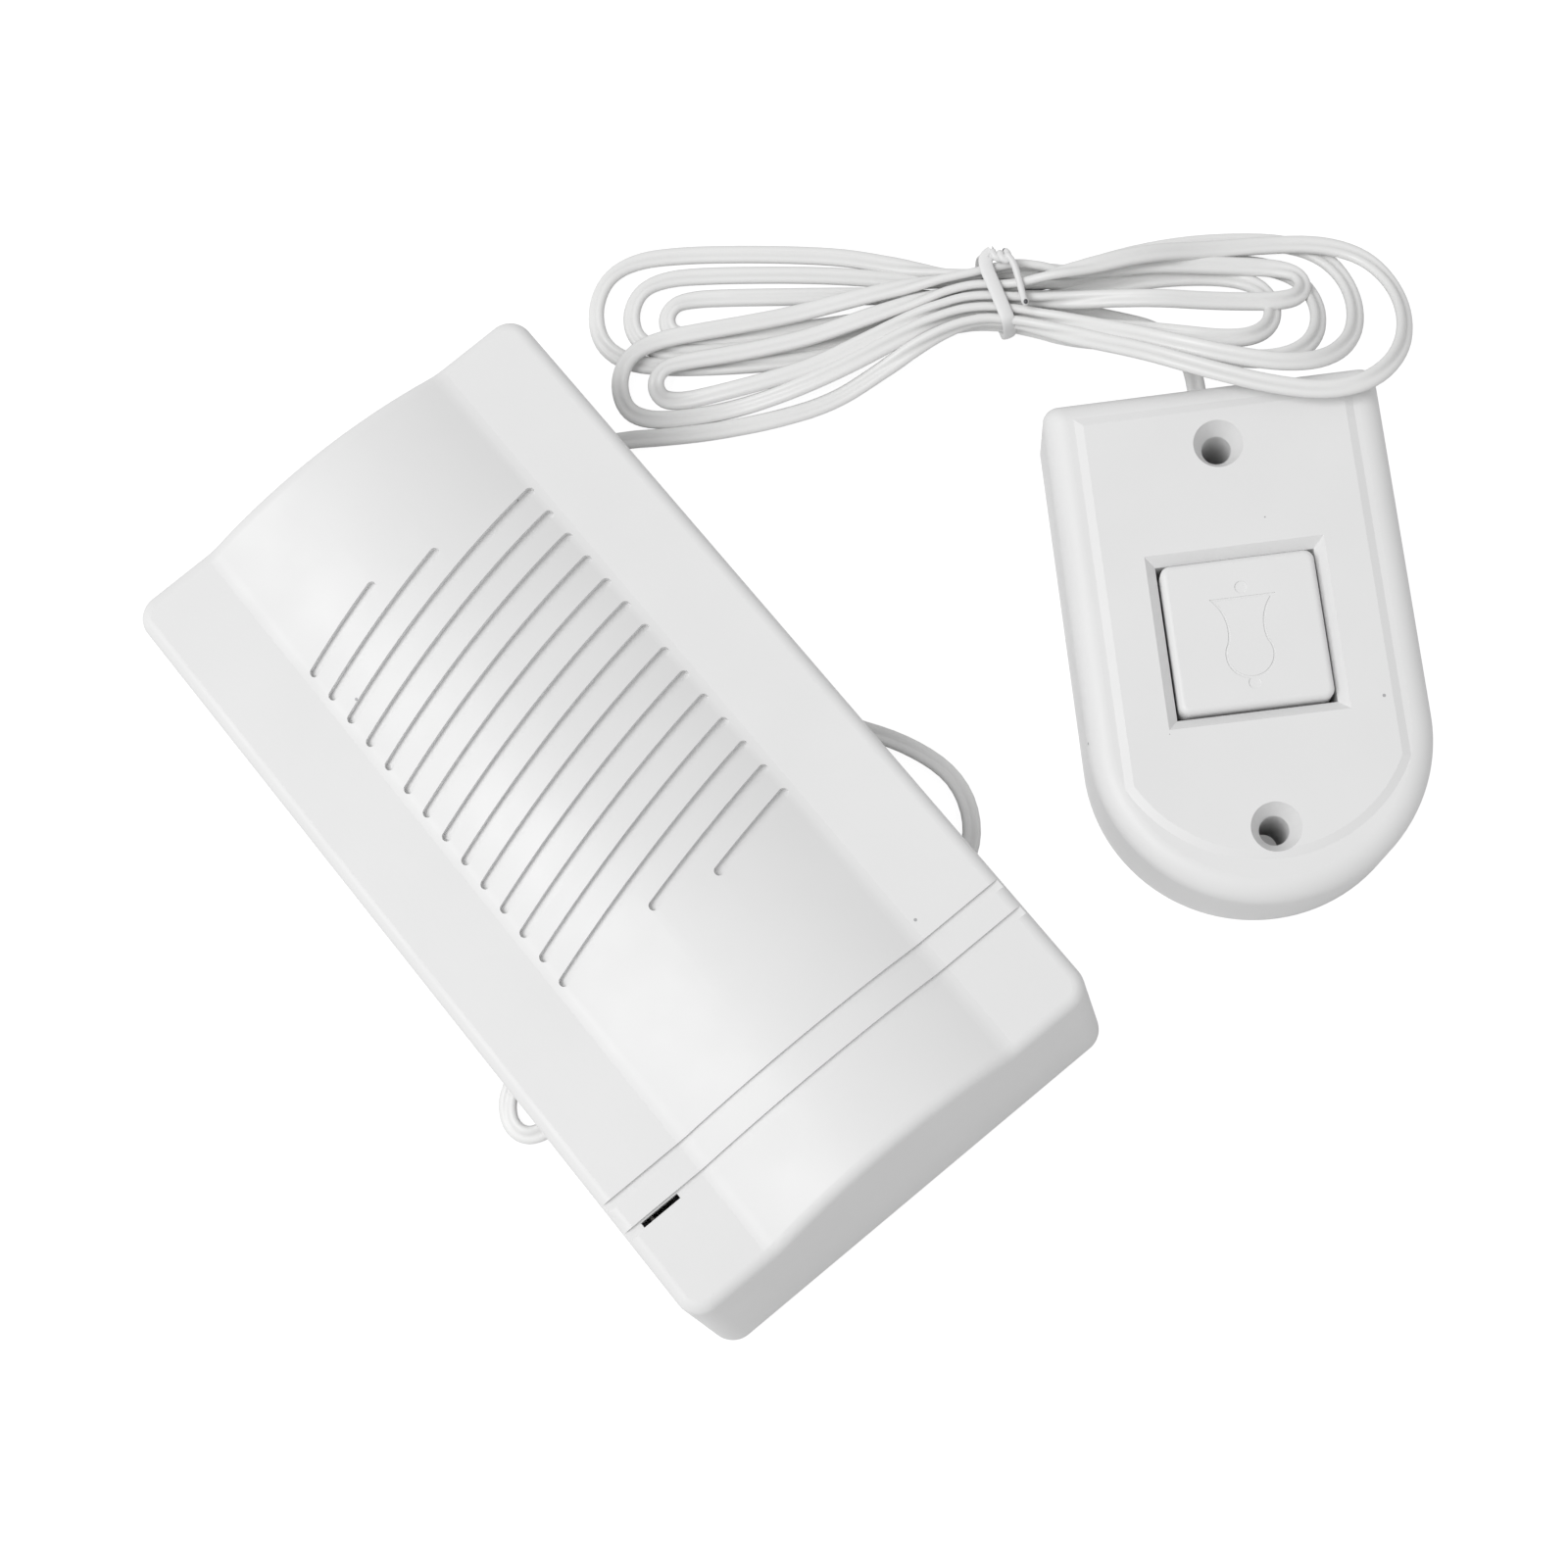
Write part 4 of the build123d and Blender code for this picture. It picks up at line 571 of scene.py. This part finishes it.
def metal(name, colour, roughness, grain=900, depth=0.000006):
    """Plated or rolled metal with fine scratches and dull patches."""
    material, nodes, links, shader = new_material(name)
    links.new(mottled(nodes, links, colour, 0.07, 260), shader.inputs["Base Color"])
    shader.inputs["Metallic"].default_value = 1.0
    varied_roughness(nodes, links, shader, roughness - 0.07, roughness + 0.1, 500)
    bump(nodes, links, shader, noise(nodes, links, grain, 5.0, 0.7), depth)
    return material


def pressed_paper(name, colour):
    """Felted paper of a loudspeaker cone."""
    material, nodes, links, shader = new_material(name)
    links.new(mottled(nodes, links, colour, 0.35, 900), shader.inputs["Base Color"])
    shader.inputs["Roughness"].default_value = 0.92
    bump(nodes, links, shader, noise(nodes, links, 1600, 6.0, 0.75), 0.00006)
    return material


def along(nodes, links, axis):
    """Socket with the place along an axis, in metres."""
    parts = nodes.new("ShaderNodeSeparateXYZ")
    links.new(object_place(nodes), parts.inputs["Vector"])
    return parts.outputs[axis]


def by_stretch(nodes, links, value, low, high, stops):
    """Colours in steps over a stretch from low to high in metres; places are shares of it."""
    stretch = nodes.new("ShaderNodeMapRange")
    stretch.inputs["From Min"].default_value = low
    stretch.inputs["From Max"].default_value = high
    links.new(value, stretch.inputs["Value"])
    return ramp(nodes, links, stretch.outputs["Result"], stops, "CONSTANT")


def cell_jacket(name, node, nub_high):
    """Plain two-tone sleeve of an AA cell, with bare metal at its ends."""
    material, nodes, links, shader = new_material(name)
    low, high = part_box(node)
    bare = (0.7, 0.69, 0.67)
    dark = (0.055, 0.065, 0.08)
    band = (0.62, 0.36, 0.16)
    stops = [(0.0, bare), (0.008, dark), (0.7, band), (0.975, bare)]
    if not nub_high:
        stops = [(0.0, bare), (0.025, band), (0.3, dark), (0.992, bare)]
    colour = by_stretch(nodes, links, along(nodes, links, "X"), low[0], high[0], stops)
    links.new(colour, shader.inputs["Base Color"])
    shader.inputs["Metallic"].default_value = 0.6
    varied_roughness(nodes, links, shader, 0.22, 0.34, 200)
    bump(nodes, links, shader, noise(nodes, links, 700), 0.000008)
    return material


def resistor(name):
    """Dipped body with plain colour rings, and tinned leads beyond it."""
    material, nodes, links, shader = new_material(name)
    body = (0.62, 0.42, 0.22)
    lead = (0.6, 0.6, 0.6)
    rings = [(0.16, (0.25, 0.1, 0.03)), (0.3, (0.02, 0.02, 0.02)), (0.44, (0.6, 0.12, 0.03))]
    stops = [(0.0, lead), (0.05, body)]
    for place, colour in rings:
        stops += [(place, colour), (place + 0.06, body)]
    stops += [(0.78, (0.55, 0.4, 0.1)), (0.84, body), (0.95, lead)]
    low = (resistor_x - resistor_half) * MM
    high = (resistor_x + resistor_half) * MM
    colour = by_stretch(nodes, links, along(nodes, links, "X"), low, high, stops)
    links.new(colour, shader.inputs["Base Color"])
    varied_roughness(nodes, links, shader, 0.25, 0.4, 600)
    bump(nodes, links, shader, noise(nodes, links, 1500), 0.00002)
    return material


def two_leads(name, first, second):
    """Thin jackets of two wires in two colours, one for each wire."""
    material, nodes, links, shader = new_material(name)
    island = nodes.new("ShaderNodeNewGeometry").outputs["Random Per Island"]
    colour = ramp(nodes, links, island, [(0.0, first), (0.5, second)], "CONSTANT")
    links.new(colour, shader.inputs["Base Color"])
    varied_roughness(nodes, links, shader, 0.3, 0.42, 400)
    bump(nodes, links, shader, noise(nodes, links, 900), 0.00001)
    return material


def circuit_board(name):
    """Plain laminate with a woven look."""
    material, nodes, links, shader = new_material(name)
    base = mottled(nodes, links, (0.36, 0.2, 0.07), 0.12, 400)
    weave = nodes.new("ShaderNodeTexBrick")
    weave.inputs["Scale"].default_value = 900
    weave.inputs["Mortar Size"].default_value = 0.08
    weave.inputs["Color1"].default_value = (1, 1, 1, 1)
    weave.inputs["Color2"].default_value = (0.9, 0.9, 0.9, 1)
    weave.inputs["Mortar"].default_value = (0.75, 0.75, 0.75, 1)
    links.new(object_place(nodes), weave.inputs["Vector"])
    woven = mixed(nodes, links, 1.0, base, weave.outputs["Color"], "MULTIPLY")
    links.new(woven, shader.inputs["Base Color"])
    varied_roughness(nodes, links, shader, 0.35, 0.5, 300)
    bump(nodes, links, shader, noise(nodes, links, 900), 0.00001)
    return material


def capacitor_can(name):
    """Shrunk sleeve with a pale stripe, and a bare aluminium top."""
    material, nodes, links, shader = new_material(name)
    low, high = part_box("board_capacitor")
    stripe = [(0.0, (0.5, 0.52, 0.55)), (0.16, (0.015, 0.02, 0.05))]
    sleeve = by_stretch(nodes, links, along(nodes, links, "X"), low[0], high[0], stripe)
    bare_height = high[2] - 0.2 * MM
    top = calculate(nodes, links, "GREATER_THAN", along(nodes, links, "Z"), bare_height)
    links.new(mixed(nodes, links, top, sleeve, (0.7, 0.7, 0.71)), shader.inputs["Base Color"])
    varied_roughness(nodes, links, shader, 0.22, 0.34, 400)
    return material


finishes = {
    "white_plastic": plastic("white_plastic", (0.8, 0.8, 0.8), 0.42, dusty=speck_amount),
    "cable_white": plastic("cable_white", (0.81, 0.81, 0.805), 0.36, grain=2500, depth=0.000006),
    "tie_white": plastic("tie_white", (0.8, 0.8, 0.8), 0.4, grain=2500, depth=0.00001),
    "steel": metal("steel", (0.6, 0.6, 0.61), 0.34),
    "nickel": metal("nickel", (0.72, 0.7, 0.66), 0.26),
    "ferrite": plastic("ferrite", (0.035, 0.035, 0.038), 0.62, grain=2200, depth=0.00005, mottle=0.2),
    "copper": metal("copper", (0.62, 0.25, 0.12), 0.3, grain=3000, depth=0.00003),
    "brass_contact": metal("brass_contact", (0.76, 0.58, 0.28), 0.25),
    "cut_wire": metal("cut_wire", (0.16, 0.16, 0.17), 0.5),
    "paper_cone": pressed_paper("paper_cone", (0.03, 0.03, 0.033)),
    "gasket": pressed_paper("gasket", (0.11, 0.1, 0.09)),
    "circuit_board": circuit_board("circuit_board"),
    "black_epoxy": plastic("black_epoxy", (0.012, 0.012, 0.014), 0.28, grain=500, mottle=0.1),
    "capacitor_sleeve": capacitor_can("capacitor_sleeve"),
    "resistor_body": resistor("resistor_body"),
    "lead_red": two_leads("lead_red", (0.45, 0.02, 0.015), (0.02, 0.02, 0.02)),
    "lead_black": two_leads("lead_black", (0.6, 0.6, 0.58), (0.02, 0.02, 0.02)),
}
cells = {
    "battery_lower": cell_jacket("cell_jacket_lower", "battery_lower", True),
    "battery_upper": cell_jacket("cell_jacket_upper", "battery_upper", False),
}
slots = {part["node"]: part["material_slot"] for part in frame["record"]["subparts"]}
for node, obj in frame["nodes"].items():
    finish = cells.get(node) or finishes[slots[node]]
    if obj.material_slots:
        for place in obj.material_slots:
            place.material = finish
    else:
        obj.data.materials.append(finish)


# Bell wire
route = cord_route()
cord_line = nurbs_line("cord_line", [point for point, roll in route], cord_resolution)
cord_rolls = spread([roll for point, roll in route], len(cord_line))
for point, roll in zip(cord_line, cord_rolls):
    point.z = max(point.z, (half_height(roll) + floor_clearance) * MM)
cord_sides = []
for way, roll in zip(line_ways(cord_line), cord_rolls):
    level = upward.cross(way).normalized()
    cord_sides.append(Matrix.Rotation(math.radians(roll), 3, way) @ level)
bell_wire = swept_mesh("bell_wire", cord_line, cord_sides, twin_section())
bell_wire.data.materials.append(finishes["cable_white"])
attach(bell_wire, "root")
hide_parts("bell_wire_under_chime", "bell_wire_to_button", "bell_wire_hank")


# Twist tie round the waist of the hank
def tie_band():
    """Control points of the band: from the knot round under the wires and back over them."""
    band = [
        (-0.6, 4.4, 6.8),
        (-1.7, 4.6, 6.2),
        (-2.0, 4.7, 3.4),
        (-1.9, 4.5, 0.9),
        (-1.4, 3.4, 0.36),
        (0.2, -0.6, 0.34),
        (1.9, -4.0, 0.36),
        (2.4, -5.3, 0.9),
        (2.5, -5.4, 3.4),
        (2.4, -5.2, 6.1),
        (1.8, -4.0, 6.7),
        (0.1, -0.4, 6.8),
        (-1.5, 2.9, 6.8),
        (-1.2, 4.2, 6.9),
        (-0.2, 4.6, 6.9),
    ]
    return [hank_frame @ Vector(point) for point in band]


def knot_strand(phase, end):
    """Control points of one of the two twisted strands, run on to a loose end."""
    axis = (knot_high - knot_low).normalized()
    first = axis.cross(Vector((1, 0, 0))).normalized()
    second = axis.cross(first)
    points = []
    for step in range(knot_steps + 1):
        share = step / knot_steps
        angle = phase + knot_turns * 2 * math.pi * share
        arm = first * math.cos(angle) + second * math.sin(angle)
        points.append(knot_low.lerp(knot_high, share) + arm * knot_arm)
    points += [Vector(point) for point in end]
    return [hank_frame @ point for point in points]


def carried_sides(line, start):
    """Side directions carried along the line without twisting."""
    sides = []
    side = start
    for way in line_ways(line):
        side = (side - way * side.dot(way)).normalized()
        sides.append(side)
    return sides


def oval_section(half_width, half_thickness, count):
    """Oval outline, wide across."""
    turns = [2 * math.pi * step / count for step in range(count)]
    return [(half_width * math.cos(turn), half_thickness * math.sin(turn)) for turn in turns]


band_line = nurbs_line("band_line", tie_band(), tie_resolution)
band_side = hank_frame.to_3x3() @ band_across
twist_tie = swept_mesh(
    "twist_tie",
    band_line,
    [band_side] * len(band_line),
    oval_section(tie_half_width, tie_half_thickness, 16),
)
tail = [(2.5, 2.6, 8.0), (3.3, 0.5, 7.5), (4.1, -2.2, 7.5), (4.4, -3.0, 7.9), (4.4, -3.1, 8.6)]
stub = [(1.7, 4.0, 7.9), (1.3, 4.5, 7.4)]
strands = []
for name, phase, loose_end in (("tie_tail", 0.0, tail), ("tie_stub", math.pi, stub)):
    line = nurbs_line(name, knot_strand(phase, loose_end), tie_resolution)
    strand = swept_mesh(
        name,
        line,
        carried_sides(line, upward),
        oval_section(tie_strand_radius, tie_strand_radius, 14),
    )
    end = line[-1]
    core_way = (end - line[-2]).normalized()
    core_line = [end - core_way * core_inside * MM, end, end + core_way * core_outside * MM]
    core = swept_mesh(
        name + "_core",
        core_line,
        [upward] * 3,
        oval_section(tie_core_radius, tie_core_radius, 12),
    )
    strand.data.materials.append(finishes["tie_white"])
    core.data.materials.append(finishes["cut_wire"])
    strands.append((strand, "tie_white"))
    strands.append((core, "steel"))
twist_tie.data.materials.append(finishes["tie_white"])
for piece, slot_name in [(twist_tie, "tie_white")] + strands:
    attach(piece, "root")
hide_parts("wire_tie")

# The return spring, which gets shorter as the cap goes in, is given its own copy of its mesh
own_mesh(bpy.data.objects["return_spring"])


# Stage
def painted_shadow_under_holes(nodes, links):
    """Mask of the painted shadow: 1 on the ground under the unit's two open screw holes, 0 elsewhere.
    """
    masks = []
    for side in (-1, 1):
        near = nodes.new("ShaderNodeVectorMath")
        near.operation = "DISTANCE"
        near.inputs[1].default_value = unit_frame @ Vector((0, side * screw_spread, 0)) * MM
        links.new(object_place(nodes), near.inputs[0])
        masks.append(calculate(nodes, links, "LESS_THAN", near.outputs["Value"], painted_shadow_radius * MM))
    return calculate(nodes, links, "MAXIMUM", *masks)


def ground_material(name):
    """Pale ground: white to the camera apart from a soft shadow and a painted shadow under the screw
    holes, plain and matt to the light.
    """
    material, nodes, links, shader = new_material(name)
    nodes.remove(shader)
    plain = nodes.new("ShaderNodeBsdfDiffuse")
    plain.inputs["Color"].default_value = (ground_albedo, ground_albedo, ground_albedo, 1)
    glow = nodes.new("ShaderNodeEmission")
    # Painted shadow: the ground seen under the screw holes is made darker, in place of the shade
    # inside them
    drop = ground_seen - painted_shadow_brightness
    shaded = calculate(nodes, links, "MULTIPLY", painted_shadow_under_holes(nodes, links), drop)
    links.new(calculate(nodes, links, "SUBTRACT", ground_seen, shaded), glow.inputs["Strength"])
    faint = nodes.new("ShaderNodeBsdfDiffuse")
    faint.inputs["Color"].default_value = (ground_shadow, ground_shadow, ground_shadow, 1)
    both = nodes.new("ShaderNodeAddShader")
    links.new(glow.outputs[0], both.inputs[0])
    links.new(faint.outputs[0], both.inputs[1])
    rays = nodes.new("ShaderNodeLightPath")
    choice = nodes.new("ShaderNodeMixShader")
    links.new(rays.outputs["Is Camera Ray"], choice.inputs[0])
    links.new(plain.outputs[0], choice.inputs[1])
    links.new(both.outputs[0], choice.inputs[2])
    links.new(choice.outputs[0], nodes["Material Output"].inputs["Surface"])
    return material


def floor():
    """Large floor just under the object."""
    mesh = bpy.data.meshes.new("floor")
    turns = ((-1, -1), (1, -1), (1, 1), (-1, 1))
    corners = [(ground_half * x, ground_half * y, 0) for x, y in turns]
    mesh.from_pydata(corners, [], [(0, 1, 2, 3)])
    obj = bpy.data.objects.new("floor", mesh)
    obj.location.z = -ground_drop
    bpy.context.scene.collection.objects.link(obj)
    obj.data.materials.append(ground_material("floor_white"))


def world():
    """White surroundings: full white to the camera, softer as light."""
    surroundings = bpy.data.worlds.new("studio")
    bpy.context.scene.world = surroundings
    surroundings.use_nodes = True
    nodes = surroundings.node_tree.nodes
    links = surroundings.node_tree.links
    background = nodes["Background"]
    background.inputs["Color"].default_value = (1, 1, 1, 1)
    rays = nodes.new("ShaderNodeLightPath")
    seen = calculate(nodes, links, "MAXIMUM", rays.outputs["Is Camera Ray"], world_light)
    links.new(seen, background.inputs["Strength"])


def lamp(name, place, target, size, power):
    """Square soft lamp at a place, aimed at a target, in metres."""
    light = bpy.data.lights.new(name, "AREA")
    light.size = size
    light.energy = power
    obj = bpy.data.objects.new(name, light)
    bpy.context.scene.collection.objects.link(obj)
    obj.location = place
    way = Vector(place) - Vector(target)
    obj.rotation_euler = way.to_track_quat("Z", "Y").to_euler()


def camera():
    """Camera at the photograph's place and angle."""
    turn = math.radians(camera_azimuth)
    rise = math.radians(camera_elevation)
    lean = math.radians(camera_roll)
    back = Vector(
        (math.sin(turn) * math.cos(rise), -math.cos(turn) * math.cos(rise), math.sin(rise))
    )
    right = Vector((math.cos(turn), math.sin(turn), 0))
    up = back.cross(right)
    leaned_right = right * math.cos(lean) + up * math.sin(lean)
    leaned_up = up * math.cos(lean) - right * math.sin(lean)
    data = bpy.data.cameras.new("camera")
    data.sensor_width = sensor_width
    data.lens = focal_pixels / frame_pixels * sensor_width
    data.clip_start = 0.01
    obj = bpy.data.objects.new("camera", data)
    bpy.context.scene.collection.objects.link(obj)
    axes = Matrix((leaned_right, leaned_up, back)).transposed().to_4x4()
    place = (Vector(camera_target) + back * camera_distance) * MM
    obj.matrix_world = Matrix.Translation(place) @ axes
    bpy.context.scene.camera = obj


floor()
world()
lamp("key", lamp_place, lamp_target, lamp_size, lamp_power)
camera()
bpy.context.scene.view_settings.view_transform = "Standard"
